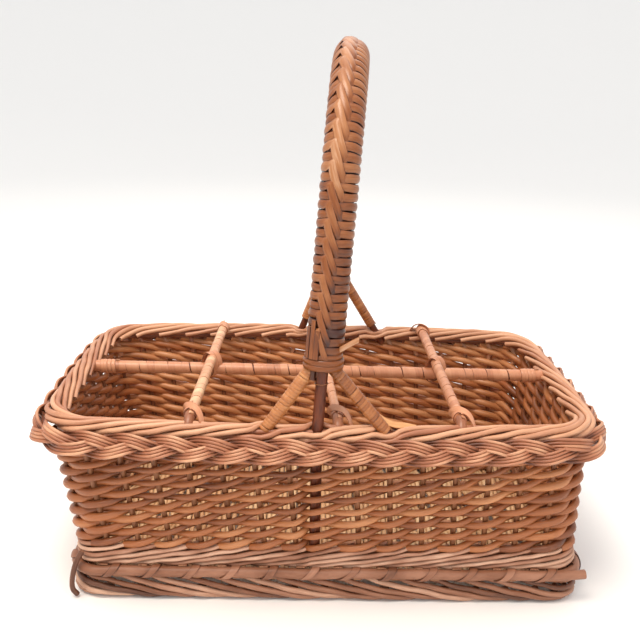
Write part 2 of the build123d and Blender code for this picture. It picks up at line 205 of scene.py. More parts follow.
def volumeSign(rod, closed):
    # which way round the faces of a grid point, from the volume that they enclose
    rod = rod - rod.mean((0, 1))
    a = rod if closed else rod[:-1]
    d = np.roll(rod, -1, 0) if closed else rod[1:]
    b, c = np.roll(a, -1, 1), np.roll(d, -1, 1)
    total = (a * (np.cross(b, c) + np.cross(c, d))).sum()
    if not closed:
        for ring in (rod[0][::-1], rod[-1]):
            total += (ring[0] * np.cross(ring[1:-1], ring[2:]).sum(0)).sum()
    return total


def addPiece(name, parts, finish, nodes):
    # parts are (grid, closed, tone): a grid holds rods, steps along, points round the section, and the
    # tone is one number for each rod, or for each step or point of it; rods that aren't closed get caps
    points, loops, starts, uvs, tones, slots = ([] for _ in range(6))
    count = corner = 0
    for grid, closed, tone in parts:
        rods, steps, sides, _ = grid.shape
        index = count + np.arange(rods * steps * sides).reshape(rods, steps, sides)
        centre = grid.mean(2)
        hop = np.linalg.norm(np.diff(centre, axis=1, append=centre[:, :1]), axis=-1)
        way = np.concatenate([np.zeros((rods, 1)), np.cumsum(hop, 1)], 1)
        way = way + dice.uniform(0, grainShift, (rods, 1))
        near = index if closed else index[:, :-1]
        far = np.roll(index, -1, 1) if closed else index[:, 1:]
        quads = np.stack([near, np.roll(near, -1, 2), np.roll(far, -1, 2), far], -1)
        u0 = np.broadcast_to(way[:, :near.shape[1], None], near.shape)
        u1 = np.broadcast_to(way[:, 1:near.shape[1] + 1, None], near.shape)
        v0 = np.broadcast_to(np.arange(sides) / sides, near.shape)
        v1 = v0 + 1 / sides
        uv = np.stack([np.stack([u0, v0], -1), np.stack([u0, v1], -1),
                       np.stack([u1, v1], -1), np.stack([u1, v0], -1)], -2)
        caps = np.zeros((0, sides), int) if closed else np.concatenate([index[:, 0, ::-1], index[:, -1]])
        quads, uv = quads.reshape(-1, 4), uv.reshape(-1, 4, 2)
        if volumeSign(grid[0], closed) < 0:
            quads, uv, caps = quads[:, ::-1], uv[:, ::-1], caps[:, ::-1]
        points.append(grid.reshape(-1, 3))
        loops += [quads.ravel(), caps.ravel()]
        capStart = corner + quads.size
        starts += [corner + 4 * np.arange(len(quads)), capStart + sides * np.arange(len(caps))]
        uvs += [uv.reshape(-1, 2), np.zeros((caps.size, 2))]
        slots += [np.zeros(len(quads), int), np.ones(len(caps), int)]
        tone = np.asarray(tone, float)
        tone = tone.reshape(tone.shape + (1,) * (3 - tone.ndim))
        tones.append(np.broadcast_to(tone, (rods, steps, sides)).ravel())
        count += grid[..., 0].size
        corner = capStart + caps.size
    mesh = bpy.data.meshes.new(name)
    mesh.vertices.add(count)
    mesh.vertices.foreach_set("co", (np.concatenate(points) * mm).ravel())
    mesh.loops.add(corner)
    mesh.loops.foreach_set("vertex_index", np.concatenate(loops).astype(np.int32))
    starts, slots = np.concatenate(starts), np.concatenate(slots)
    mesh.polygons.add(len(starts))
    mesh.polygons.foreach_set("loop_start", starts.astype(np.int32))
    mesh.polygons.foreach_set("material_index", slots.astype(np.int32))
    mesh.polygons.foreach_set("use_smooth", slots == 0)
    grain = mesh.uv_layers.new(name="grain")
    grain.data.foreach_set("uv", np.concatenate(uvs).ravel())
    mesh.attributes.new("tone", "FLOAT", "POINT").data.foreach_set("value", np.concatenate(tones))
    mesh.update(calc_edges=True)
    mesh.set_sharp_from_angle(angle=sharpAngle)
    for material in finish:
        mesh.materials.append(material)
    piece = bpy.data.objects.new(name, mesh)
    bpy.context.scene.collection.objects.link(piece)
    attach(piece, "root")
    if nodes:
        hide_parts(*nodes)
    print(f"{name}: {len(starts)} faces")


# materials
def colour(code):
    # sRGB hex to the linear colour that a shader takes
    parts = np.array([int(code[i:i + 2], 16) for i in (1, 3, 5)]) / 255
    linear = np.where(parts <= 0.04045, parts / 12.92, ((parts + 0.055) / 1.055) ** 2.4)
    return (*linear, 1.0)


def addNode(tree, kind, settings=None, links=None):
    # one node, with its settings (properties by name, sockets by name or number) and what feeds it
    node = tree.nodes.new(kind)
    for key, value in (settings or {}).items():
        if isinstance(key, str) and key not in node.inputs.keys():
            setattr(node, key, value)
        else:
            node.inputs[key].default_value = value
    for key, source in (links or {}).items():
        tree.links.new(source, node.inputs[key])
    return node


def blankMaterial(name):
    # a material with an empty node tree
    material = bpy.data.materials.new(name)
    material.use_nodes = True
    material.node_tree.nodes.clear()
    return material, material.node_tree


def woodSurface(tree, look, ramp, streak):
    # the surface under a colour: streaks make it rougher and stand a little proud
    rough = addNode(tree, "ShaderNodeMapRange",
                    {"To Min": look["roughness"][0], "To Max": look["roughness"][1]},
                    {"Value": streak.outputs["Fac"]})
    bump = addNode(tree, "ShaderNodeBump", {"Strength": look["relief"], "Distance": look["bump"] * mm},
                   {"Height": streak.outputs["Fac"]})
    shader = addNode(tree, "ShaderNodeBsdfPrincipled",
                     {"IOR": 1.5, "Coat Weight": look["coat"], "Coat Roughness": 0.3},
                     {"Base Color": ramp.outputs[0], "Roughness": rough.outputs[0],
                      "Normal": bump.outputs[0]})
    addNode(tree, "ShaderNodeOutputMaterial", {}, {"Surface": shader.outputs[0]})


# lengths in mm: a streak's length, how many lie round a rod, the size of a patch and the streaks' height
rodLook = {"streakLength": 18, "streaks": 4, "streakDepth": 0.45, "patch": 40, "patchDepth": 0.45,
           "roughness": (0.36, 0.5), "relief": 0.6, "bump": 0.2, "coat": 0.12}
stickLook = {"stretch": (1, 1, 1), "relief": 0.5, "coat": 0.0}


def rodMaterial(name, own):
    # a rod or strip: the attribute tone picks the rod's own shade, streaks run along its grain map
    look = {**rodLook, **own}
    material, tree = blankMaterial(name)
    tone = addNode(tree, "ShaderNodeAttribute", {"attribute_name": "tone"})
    grainMap = addNode(tree, "ShaderNodeUVMap", {"uv_map": "grain"})
    streakMap = addNode(tree, "ShaderNodeMapping",
                        {"Scale": (1 / look["streakLength"], look["streaks"], 1)},
                        {"Vector": grainMap.outputs[0]})
    streak = addNode(tree, "ShaderNodeTexNoise", {"Scale": 1.0, "Detail": 3.0, "Roughness": 0.6},
                     {"Vector": streakMap.outputs[0]})
    place = addNode(tree, "ShaderNodeTexCoord")
    patch = addNode(tree, "ShaderNodeTexNoise", {"Scale": 1 / (look["patch"] * mm), "Detail": 2.0},
                    {"Vector": place.outputs["Object"]})
    streaked = addNode(tree, "ShaderNodeMath", {"operation": "MULTIPLY_ADD", 1: look["streakDepth"]},
                       {0: streak.outputs["Fac"], 2: tone.outputs["Fac"]})
    patched = addNode(tree, "ShaderNodeMath", {"operation": "MULTIPLY_ADD", 1: look["patchDepth"]},
                      {0: patch.outputs["Fac"], 2: streaked.outputs[0]})
    middle = addNode(tree, "ShaderNodeMath",
                     {"operation": "SUBTRACT", 1: (look["streakDepth"] + look["patchDepth"]) / 2},
                     {0: patched.outputs[0]})
    ramp = addNode(tree, "ShaderNodeValToRGB", {}, {"Fac": middle.outputs[0]})
    stops = ramp.color_ramp.elements
    shades = look["shades"]
    for number, code in enumerate(shades):
        at = number / (len(shades) - 1)
        stop = stops[number] if number < 2 else stops.new(at)
        stop.position, stop.color = at, colour(code)
    woodSurface(tree, look, ramp, streak)
    return material


def stickMaterial(name, own):
    # a solid stick without a grain map: streaks from noise that is drawn out along the stick
    look = {**stickLook, **own}
    material, tree = blankMaterial(name)
    place = addNode(tree, "ShaderNodeTexCoord")
    drawn = addNode(tree, "ShaderNodeMapping", {"Scale": look["stretch"]},
                    {"Vector": place.outputs["Object"]})
    streak = addNode(tree, "ShaderNodeTexNoise", {"Scale": 1 / (look["grain"] * mm), "Detail": 4.0},
                     {"Vector": drawn.outputs[0]})
    ramp = addNode(tree, "ShaderNodeValToRGB", {}, {"Fac": streak.outputs["Fac"]})
    for stop, at, code in zip(ramp.color_ramp.elements, (0.3, 0.72), look["shades"]):
        stop.position, stop.color = at, colour(code)
    woodSurface(tree, look, ramp, streak)
    return material


# steamed willow, varnished: each rod its own shade of tan, satin, with long faint streaks
willowWall = rodMaterial("steamed_willow_wall", {
    "shades": ("#5F3016", "#96562F", "#AE693B", "#CB8C5C"), "streakLength": 16, "streaks": 5,
    "streakDepth": 0.5, "patch": 45, "patchDepth": 0.5, "roughness": (0.36, 0.52), "bump": 0.25})
# the border's thinner rods are paler and pinker, because they were peeled
willowBorder = rodMaterial("buff_willow_border", {"shades": ("#5E301A", "#925638", "#AB6E4E", "#D09B77")})
# the bottom's rods were peeled and left pale, and are set paler still as painted light for the light that
# falls on the bottom: they throw light back through the gaps of the wall
willowBase = rodMaterial("pale_willow_bottom_painted_light", {
    "shades": ("#9C6C47", "#CB9A6E", "#DDB488", "#EED0A6"), "streakDepth": 0.4, "patchDepth": 0.4,
    "roughness": (0.42, 0.56), "coat": 0.05})
# the foot's rods stood on the ground: duller, greyer and a little pinker
willowFoot = rodMaterial("weathered_willow_foot", {
    "shades": ("#442213", "#865439", "#A8755A", "#D2A68A"), "streakDepth": 0.5, "patchDepth": 0.5,
    "roughness": (0.42, 0.58), "bump": 0.25, "coat": 0.06})
# split cane with its hard outer skin on show: honey, a little glossy, fine fibres along the strip
caneGrip = rodMaterial("split_cane_grip", {
    "shades": ("#3C1508", "#83440F", "#A86E42", "#DCB89A"), "streakLength": 14, "streaks": 14,
    "patch": 30, "roughness": (0.3, 0.46), "coat": 0.18})
# the braces' cane was split finer and kept its honey colour
caneBrace = rodMaterial("fine_cane_brace", {
    "shades": ("#6A3413", "#9A5A2C", "#BC7A46", "#DDAE78"), "streakLength": 14, "streaks": 10,
    "streakDepth": 0.4, "patch": 25, "roughness": (0.3, 0.46), "bump": 0.15, "coat": 0.18})
# the dividers' cane is the palest, and dark only in the joints between its turns
caneDivider = rodMaterial("split_cane_divider", {
    "shades": ("#2E160A", "#93593A", "#C17F5A", "#D39670", "#E8BE94"), "streakLength": 14, "streaks": 14,
    "streakDepth": 0.3, "patch": 30, "patchDepth": 0.34, "roughness": (0.32, 0.48), "coat": 0.15})
# cut ends: the open grain is matt and greyer than the skin
cutEnd = stickMaterial("willow_cut_end", {
    "grain": 1.6, "shades": ("#7B4B34", "#B5845F"), "roughness": (0.6, 0.8), "bump": 0.15})
# thick peeled sticks, stained brown: matt, with grain along them
brownStick = stickMaterial("stained_stick", {
    "stretch": (1, 1, 0.12), "grain": 2.2, "shades": ("#461A06", "#733412"), "roughness": (0.45, 0.62),
    "bump": 0.3})
# peeled sticks that lie lengthwise and crosswise: blotched, because no one grain fits both
paleStick = stickMaterial("peeled_stick", {
    "stretch": (0.2, 0.2, 0.2), "grain": 3.0, "shades": ("#8A5338", "#B7805C"), "roughness": (0.45, 0.6),
    "bump": 0.2})
# the stakes kept their skin: satin, with grain up them
stakeWood = stickMaterial("willow_stake", {
    "stretch": (1, 1, 0.1), "grain": 2.5, "shades": ("#6E3F22", "#9C6540"), "roughness": (0.42, 0.58),
    "bump": 0.25})
print("materials are ready")

# the CAD rods whose shape is right keep it and get their finish
cadRods = [(stakeWood, ["front_stakes", "back_stakes", "left_stakes", "right_stakes", "corner_stakes"]),
           (paleStick, ["base_sticks", "left_divider", "middle_divider", "right_divider"]),
           (brownStick, ["handle_core", "handle_left_rod", "handle_right_rod", "handle_outer_filler",
                         "handle_inner_filler", "long_divider"])]
for finish, nodes in cadRods:
    for node in nodes:
        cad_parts[node].data.materials.clear()
        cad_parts[node].data.materials.append(finish)
print("CAD rods have their finish")

# below, a pair called tone is a mean and a spread, and a pair called uneven a size and a number of waves
# the wall: one weaver starts at every stake, and each climbs to the right
weave = {"start": 44.5, "end": 141.5, "pitch": 5.7, "thick": 5.3, "thin": 4.7, "spread": 0.05, "dip": 1.25,
         "reach": 4.6, "legReach": 2.0, "tilt": 0.34, "openTo": (5.0, 8.0), "tightReach": 3.2,
         "tightThick": 1.32, "tightDip": 0.3, "stepsPerStake": 8, "sides": 8, "levelUneven": (0.35, 4),
         "outUneven": (0.3, 3), "tone": (0.46, 0.17), "paintedDepthShade": 0.1, "backPaintedLight": 0.42,
         "backFacing": (0.0, 0.7)}


def taper(piece, steps):
    # each rod's radius, from its thick end to its thin one, times a share of its own
    own = dice.normal(1, piece["spread"], (box["stakes"], 1))
    return np.linspace(piece["thick"], piece["thin"], steps)[None] / 2 * own


def wallWeave():
    # weaver w is at stake w + i when it has climbed i rows: its height grows evenly with i, and its
    # distance from the stakes' line is a cosine of i, in front of even stakes and behind odd ones; the
    # weave is open along the front and tighter elsewhere, and what lies forward lies a little high
    count = box["stakes"]
    rows = (weave["end"] - weave["start"]) / weave["pitch"]
    steps = int(rows * weave["stepsPerStake"])
    climb = np.linspace(-0.45, rows - 0.5, steps)[None]     # the ends lie between two stakes
    wave = np.cos(np.pi * climb)
    number = np.arange(count)[:, None] + climb
    front, back = legNear(number)
    tight = ease(*weave["openTo"], fromFront(number))
    dip = weave["dip"] + (weave["tightDip"] - weave["dip"]) * tight
    level = weave["start"] + (climb + 0.5) * weave["pitch"] - dip * wave
    level = level + wander(count, steps, *weave["levelUneven"])
    reach = weave["reach"] + (weave["tightReach"] - weave["reach"]) * tight
    reach = reach + weave["legReach"] * (front + back)
    out = reach * wave + wander(count, steps, *weave["outUneven"])
    path, guide = wallPoint(stakePlace(number, level), level, out)
    path[..., 2] -= weave["tilt"] * guide[..., 1] * out
    size = taper(weave, steps) * (1 + (weave["tightThick"] - 1) * tight)
    # painted shade and light: along the open front a weaver is darker where it goes behind a stake and paler
    # where it lies forward
    tone = dice.normal(*weave["tone"], (count, 1)) + weave["paintedDepthShade"] * wave * (1 - tight)
    # painted light: the back wall's rods are set paler, for the light that falls on the inside of the back
    tone = tone + weave["backPaintedLight"] * ease(*weave["backFacing"], guide[..., 1])
    return carry(path, guide, roundSection(weave["sides"]), size), tone


weavers, weaverTone = wallWeave()
addPiece("wall_weavers", [(weavers, False, weaverTone)], (willowWall, cutEnd), ["wall_weave"])

# the waling under the weave: a thin rod starts at every stake and climbs slowly to the right
wale = {"thick": 4.0, "thin": 3.4, "spread": 0.06, "legReach": 1.6, "steps": 44, "sides": 10,
        "stake": (-0.7, -0.1, 0.7, 1.6, 2.5, 3.3, 3.9), "out": (-3.0, 3.8, 5.2, 5.4, 5.0, 3.4, -2.5),
        "level": (28.0, 29.4, 32.8, 36.6, 40.4, 43.8, 45.6), "outUneven": (0.3, 2),
        "levelUneven": (0.35, 2), "tone": (0.74, 0.15), "toneUneven": (0.1, 2), "paintedUnderShade": 0.55,
        "innerOut": (-5.0, -5.0, -5.0), "innerLevel": (29.6, 34.2, 38.8), "innerThick": 4.6,
        "innerTone": (0.4, 0.55, 0.45)}


def stakeRods(piece):
    # a rod starts at every stake, and its way is one smooth line through a few places: gives the stake
    # that it passes, its distance out and its level
    stake, out, level = keyLines(piece, ("stake", "out", "level"), piece["steps"])
    return np.arange(box["stakes"])[:, None] + stake, out, level


def waling():
    # stake rods that come out from between the stakes above the hoop, go up in front of four of them
    # and in again under the weave; each rod's lower side is painted darker, a painted shade where it meets
    # the one below
    count, steps = box["stakes"], wale["steps"]
    number, out, level = stakeRods(wale)
    front, back = legNear(number)
    out = out + wale["legReach"] * (front + back) + wander(count, steps, *wale["outUneven"])
    level = level + wander(count, steps, *wale["levelUneven"])
    path, guide = wallPoint(stakePlace(number, level), level, out)
    size = taper(wale, steps)
    tone = dice.normal(*wale["tone"], (count, 1)) + wander(count, steps, *wale["toneUneven"])
    section = roundSection(wale["sides"])
    # painted shade on the lower half of each rod's section
    low = np.maximum(0, section[:, 1])
    return carry(path, guide, section, size), tone[..., None] - wale["paintedUnderShade"] * low


# closed rods go round the plan in ten steps to a stake
roundSteps = 10 * box["stakes"]
roundStake = np.arange(roundSteps)[None] / 10
closedRod = {"uneven": (0.4, 9), "sides": 8}


def roundRods(outs, levels, thick):
    # rods that go right round the plan, each at one level, a little uneven
    out, level = (np.array(line)[:, None] + wander(len(line), roundSteps, *closedRod["uneven"])
                  for line in (outs, levels))
    path, guide = wallPoint(roundStake, level, out)
    return carry(path, guide, roundSection(closedRod["sides"]), thick / 2, closed=True)


wales, waleTone = waling()
innerWales = roundRods(wale["innerOut"], wale["innerLevel"], wale["innerThick"])
addPiece("foot_waling", [(wales, False, waleTone), (innerWales, True, wale["innerTone"])],
         (willowFoot, cutEnd), ["bottom_wale"])

# the plait outside the rim: three strands of four thin rods
plait = {"out": 14.3, "level": 140.3, "tilt": math.radians(25), "swing": 5.4, "depth": 3.6, "thick": 2.25,
         "strands": 3, "rods": 4, "apart": 2.4, "waves": 14, "sides": 8, "cornerFull": 0.22,
         "swingUneven": (0.05, 15), "depthUneven": (0.25, 20), "thickUneven": (0.05, 16),
         "tone": (0.43, 0.13), "toneUneven": (0.14, 16), "paintedDepthShade": 0.34}


def rimPlait():
    # each strand swings up and down as a cosine, a whole number of waves round the rim, and in and out
    # as the sine of twice that angle; its rods lie side by side across its own direction
    count = plait["strands"] * plait["rods"]
    strand, rod = np.divmod(np.arange(count)[:, None], plait["rods"])
    turn = 2 * np.pi * (plait["waves"] * roundStake / box["stakes"] + strand / plait["strands"])
    swing = plait["swing"] * (1 + wander(plait["strands"], roundSteps, *plait["swingUneven"]))[strand[:, 0]]
    slope = -swing * np.sin(turn) * 2 * np.pi * plait["waves"] / (box["stakes"] * box["bay"])
    aside = (rod - (plait["rods"] - 1) / 2) * plait["apart"] / np.sqrt(1 + slope**2)
    height = swing * np.cos(turn) + aside
    deep = plait["depth"] * np.sin(2 * turn) + wander(count, roundSteps, *plait["depthUneven"])
    level = plait["level"] + height * math.cos(plait["tilt"]) + deep * math.sin(plait["tilt"])
    out = plait["out"] + deep * math.cos(plait["tilt"]) - height * math.sin(plait["tilt"])
    path, guide = wallPoint(roundStake - aside * slope / box["bay"], level, out)
    size = plait["thick"] / 2 * (1 + wander(count, roundSteps, *plait["thickUneven"]))
    size = size * cornerFull(guide, plait["cornerFull"])
    tone = dice.normal(*plait["tone"], (count, 1)) + wander(count, roundSteps, *plait["toneUneven"])
    # painted shade and light: a strand is darker where it lies deep in the plait and paler where it stands
    # out
    tone = tone + plait["paintedDepthShade"] * np.sin(2 * turn)
    return carry(path, guide, roundSection(plait["sides"]), size, closed=True), tone


strands, strandTone = rimPlait()
addPiece("rim_plait", [(strands, True, strandTone)], (willowBorder, cutEnd), ["border_plait"])

# the rolled border on top: every stake bends over to the right and ends inside
border = {"thick": 4.7, "thin": 3.9, "spread": 0.05, "cornerFull": 0.2, "steps": 48, "sides": 8, "lean": 1.3,
          "stake": (0.0, 0.05, 0.35, 0.9, 1.8, 2.8, 4.1, 5.3),
          "out": (0.0, 0.5, 4.0, 7.2, 5.2, 0.8, -4.6, -7.6),
          "level": (126.0, 137.0, 145.0, 148.6, 152.6, 154.0, 151.8, 146.6),
          "stakeUneven": (0.03, 2), "outUneven": (0.35, 2), "levelUneven": (0.35, 2), "tone": (0.92, 0.15),
          "frontBraces": (-43.0, 48.5), "backBraces": (-17.5, 61.0), "near": (0.1, 0.45),
          "high": (141.0, 146.0), "clear": 6.0, "split": 3.0, "dip": 2.6,
          "packedOut": (-3.6, 0.2, 3.2, -1.4, 10.0), "packedLevel": (147.6, 149.6, 146.6, 144.2, 142.0),
          "packedThick": 4.4, "packedTone": (0.3, 0.45, 0.4, 0.2, 0.1)}


def rolledBorder():
    # stake rods that go up, out over the plait and across the crest to the inside; at a leg or brace a
    # rod is pushed clear to one side, and dips if it goes outside
    count, steps = box["stakes"], border["steps"]
    number, out, level = stakeRods(border)
    number = number + wander(count, steps, *border["stakeUneven"])
    out = out + wander(count, steps, *border["outUneven"])
    level = level + wander(count, steps, *border["levelUneven"])
    legs = legShift(box["high"])
    posts = [legs[0], *(x / box["bay"] for x in border["frontBraces"])]
    posts += [count / 2 + legs[1], *(count / 2 - x / box["bay"] for x in border["backBraces"])]
    for post in posts:
        away = (number - post + count / 2) % count - count / 2
        close = (1 - ease(*border["near"], np.abs(away))) * ease(*border["high"], level)
        atPost = np.take_along_axis(out, np.abs(away).argmin(1)[:, None], 1)
        side = np.where(atPost >= border["split"], 1, -1)
        out = out + side * np.maximum(0, border["clear"] - side * out) * close
        level = level - border["dip"] * close * (side > 0 if post < count / 4 else 1)
    path, guide = wallPoint(number, level, out)
    size = taper(border, steps) * cornerFull(guide, border["cornerFull"])
    guide = unit(guide + border["lean"] * upward)
    return carry(path, guide, roundSection(border["sides"]), size)


# the wall's last rods lie packed under the crest
packedRods = roundRods(border["packedOut"], border["packedLevel"], border["packedThick"])
crestRods = rolledBorder()
# painted light: the crest's rods are set much paler than the plait's rods of the same willow, for the light
# that falls on the crest from above
crestTone = dice.normal(*border["tone"], box["stakes"])
addPiece("rim_rods", [(crestRods, False, crestTone), (packedRods, True, border["packedTone"])],
         (willowBorder, cutEnd), ["border_roll"])

# the foot: a hoop, its ties and the rods of the foot border
foot = {"hoopOut": 8.6, "hoopLevel": 25.2, "hoopThick": 8.4, "hoopSides": 14, "hoopLevelUneven": (0.4, 7),
        "hoopOutUneven": (0.2, 9), "hoopThickUneven": (0.02, 12), "hoopTone": 0.45,
        "hoopToneUneven": (0.1, 9), "thick": 4.6, "spread": 0.05, "steps": 36, "sides": 8,
        "stake": (0.0, 0.5, 1.3, 2.4, 3.4, 4.3, 5.0), "out": (2.6, 6.4, 8.6, 9.0, 7.6, 1.5, -5.5),
        "level": (20.6, 18.6, 13.8, 7.6, 3.4, 2.7, 3.2), "outUneven": (0.5, 2), "levelUneven": (0.3, 2),
        "tone": (0.52, 0.24), "endSteps": 24, "endSides": 10, "endGuide": (0.3, -1.0, 0.2)}


def footHoop():
    # a thick rod round the plan at one level, a little uneven
    level = foot["hoopLevel"] + wander(1, roundSteps, *foot["hoopLevelUneven"])
    out = foot["hoopOut"] + wander(1, roundSteps, *foot["hoopOutUneven"])
    path, guide = wallPoint(roundStake, level, out)
    size = foot["hoopThick"] / 2 * (1 + wander(1, roundSteps, *foot["hoopThickUneven"]))
    return carry(path, guide, roundSection(foot["hoopSides"]), size, closed=True)


def footRods():
    # stake rods from under the hoop down to the right, then in; none is lower than the ground
    count, steps, half = box["stakes"], foot["steps"], foot["thick"] / 2
    number, out, level = stakeRods(foot)
    out = out + wander(count, steps, *foot["outUneven"])
    level = level + wander(count, steps, *foot["levelUneven"])
    path, guide = wallPoint(number, np.maximum(level, half), out)
    size = np.minimum(half * dice.normal(1, foot["spread"], (count, 1)), half)
    return carry(path, guide, roundSection(foot["sides"]), size)


# two rods' ends stand free at the front corners
footEnds = {"corner": {"x": (-187.0, -191.5, -194.5, -195.0, -192.0), "z": (40.0, 31.0, 19.0, 9.0, 2.4),
                       "y": (-114.0, -118.0, -118.8, -118.5, -117.0), "thick": 4.2, "tone": 0.15},
            "hoop": {"x": (184.0, 195.0, 205.0, 214.0), "y": (-117.6, -117.8, -117.4, -116.8),
                     "z": (25.0, 25.4, 26.0, 26.6), "thick": 7.6, "tone": 0.5}}


def footEnd(name):
    # a circle carried along one smooth line through a few places, with its tone
    end = footEnds[name]
    path = np.stack(keyLines(end, "xyz", foot["endSteps"]), -1)[None]
    guide = np.broadcast_to(np.array(foot["endGuide"]), path.shape)
    return carry(path, guide, roundSection(foot["endSides"]), end["thick"] / 2), False, [end["tone"]]


hoop = footHoop()
hoopTone = foot["hoopTone"] + wander(1, roundSteps, *foot["hoopToneUneven"])
addPiece("foot_hoop_rod", [(hoop, True, hoopTone), footEnd("hoop")], (willowFoot, cutEnd),
         ["foot_hoop"])
footGrid = footRods()
footTone = dice.normal(*foot["tone"], box["stakes"])
addPiece("foot_rods", [(footGrid, False, footTone), footEnd("corner")], (willowFoot, cutEnd),
         ["foot_border"])

# the section of a flat strip for grids in (along, around, radius): the outer face from one edge to the
# other, then the inner face back; its edges are marked for painted shade, where strips meet and overlap
acrossStrip = np.array([-1.0, -0.86, -0.45, 0.0, 0.45, 0.86, 1.0])
acrossFaces = np.concatenate([acrossStrip, acrossStrip[::-1]])
edgeShadeMark = ease(0.86, 1.0, np.abs(acrossFaces))
leadMark = ease(0.86, 1.0, acrossFaces)


def stripLift(thickness, crown):
    # how far a strip's points stand off what it lies on: its thickness, and a crown in its middle
    return np.concatenate([thickness + crown * (1 - acrossStrip**2), 0 * acrossStrip])


def shadedEdges(tone, dark):
    # the tone of one strip or of several, less a line of painted shade along both edges, where strips meet
    return np.reshape(tone, (-1, 1, 1)) - dark * edgeShadeMark


def flatStrip(path, away, width, lift):
    # a strip along a path: its face looks away, and its width lies square to its way
    across = unit(np.cross(np.gradient(path, axis=0), away))
    away = np.broadcast_to(away, path.shape)
    return (path[:, None] + (acrossFaces * width / 2)[:, None] * across[:, None]
            + lift[:, None] * away[:, None])[None]


ties = {"count": 38, "width": 7.0, "thick": 0.9, "crown": 0.25, "slant": 4.4, "slantSpread": 0.15,
        "lead": 0.4, "turns": 1.5, "steps": 60, "bay": 25.0, "clear": 0.1, "overlap": 0.35,
        "tone": (0.42, 0.1), "edgeShade": 0.4}


def footTies():
    # a strip round the hoop: one and a half turns, slanting up to the right where it crosses the front
    lift = stripLift(ties["thick"], ties["crown"])
    around = np.linspace(-1, 1, ties["steps"]) * np.pi * ties["turns"]
    along = ties["slant"] * np.sin(np.clip(around, -np.pi / 2, np.pi / 2)) + ties["lead"] * around
    count = ties["count"]
    middle = (np.arange(count) + 0.5) * box["stakes"] / count
    slant = dice.normal(1, ties["slantSpread"], (count, 1, 1))
    aside = slant * along[None, :, None] + acrossFaces * ties["width"] / 2
    over = ties["overlap"] * (np.abs(around) > np.pi)[:, None]
    radius = foot["hoopThick"] / 2 + ties["clear"] + lift + over
    out = foot["hoopOut"] + radius * np.cos(around)[:, None]
    level = foot["hoopLevel"] + radius * np.sin(around)[:, None]
    return wallPoint(middle[:, None, None] + aside / ties["bay"], level, out)[0]


tieStrips = footTies()
# painted shade along the ties' edges
tieTone = shadedEdges(dice.normal(*ties["tone"], ties["count"]), ties["edgeShade"])
addPiece("foot_tie_strips", [(tieStrips, False, tieTone)], (willowFoot, cutEnd), ["foot_ties"])

# the bottom: rods woven across five sticks, four rods side by side
base = {"level": 22.6, "rest": 20.3, "rise": 5.2, "bands": 21, "rods": 4, "more": 2, "pitch": 17.6,
        "apart": 4.3, "thick": 4.2, "spread": 0.04, "inset": 1.5, "steps": 56, "sides": 6,
        "stops": (-112.0, -90.0, -72.0, -36.0, 0.0, 36.0, 72.0, 90.0, 112.0), "over": (1, -1, 1, -1, 1),
        "uneven": (0.2, 2), "tone": (0.55, 0.12)}


def baseWeave():
    # a band of rods goes over one stick and under the next along one smooth line, its neighbours the
    # other way round; the ends lie on the foot, and the plan's inside line cuts the rods to length
    steps = base["steps"]
    rods = np.arange(-base["more"], base["bands"] * base["rods"] + base["more"])
    band, rod = np.divmod(rods, base["rods"])
    aside = (rod - (base["rods"] - 1) / 2) * base["apart"]
    x = box["shift"][0] + (band - (base["bands"] - 1) / 2) * base["pitch"] + aside
    insideX, insideY = planLow[0] - base["inset"] * planLow[2], planLow[1] - base["inset"] * planLow[3]
    back = insideY > 0
    order = np.argsort(insideX[back])
    half = np.interp(x, insideX[back][order], insideY[back][order])[:, None]
    y = np.linspace(-1, 1, steps)[None] * half
    lines = []
    for way in (1, -1):
        levels = np.full(len(base["stops"]), base["rest"])
        levels[2:-2] = base["level"] + way * np.array(base["over"]) * base["rise"]
        lines.append(through(base["stops"], levels, y))
    z = np.where((band % 2 == 0)[:, None], *lines) + wander(len(rods), steps, *base["uneven"])
    path = np.stack([x[:, None] + wander(len(rods), steps, *base["uneven"]), y, z], -1)
    size = base["thick"] / 2 * dice.normal(1, base["spread"], (len(rods), 1))
    return carry(path, np.broadcast_to(upward, path.shape), roundSection(base["sides"]), size)


baseGrid = baseWeave()
baseTone = dice.normal(*base["tone"], len(baseGrid))
addPiece("base_weavers", [(baseGrid, False, baseTone)], (willowBase, cutEnd), ["base_weave"])

# the handle's bow: a leg, a round shoulder, a straight crown, a shoulder and a leg, in a leaning plane
bow = {"seat": 150.0, "top": 434.0, "halfSpan": 122.0, "shoulder": 86.0, "arch": 96.0, "crest": 15.6,
       "lean": math.radians(3.25), "past": 40.0, "steps": 12001}
frontX, backX = box["legX"]
yaw = math.atan2(backX - frontX, 2 * bow["halfSpan"])
acrossBow = np.array([math.cos(yaw), -math.sin(yaw), 0.0])
bowOrigin = np.array([(frontX + backX) / 2, 0.0, bow["seat"]])
bowX = np.array([math.sin(yaw), math.cos(yaw), 0.0])
bowZ = acrossBow * math.cos(bow["lean"]) - math.sin(bow["lean"]) * upward
bowY = np.cross(bowZ, bowX)
bowRise = bow["top"] - bow["seat"] - bow["crest"]
legSlope = math.atan2(bow["halfSpan"] - bow["shoulder"], bowRise)
legAngle = math.pi / 2 - legSlope
legLength = bowRise / math.cos(legSlope) - bow["arch"] * math.tan(legAngle / 2)
archLength = bow["arch"] * legAngle
crownLength = 2 * bow["shoulder"] - 2 * bow["arch"] * math.tan(legAngle / 2)
bowLength = 2 * legLength + 2 * archLength + crownLength
bowWay = np.linspace(-bow["past"], bowLength + bow["past"], bow["steps"])
bowTurn = np.interp(bowWay, np.cumsum([legLength, archLength, crownLength, archLength]),
                    [legAngle, 0.0, 0.0, -legAngle])
bowHop = np.diff(bowWay, prepend=bowWay[0])
bowAcross = np.cumsum(bowHop * np.cos(bowTurn))
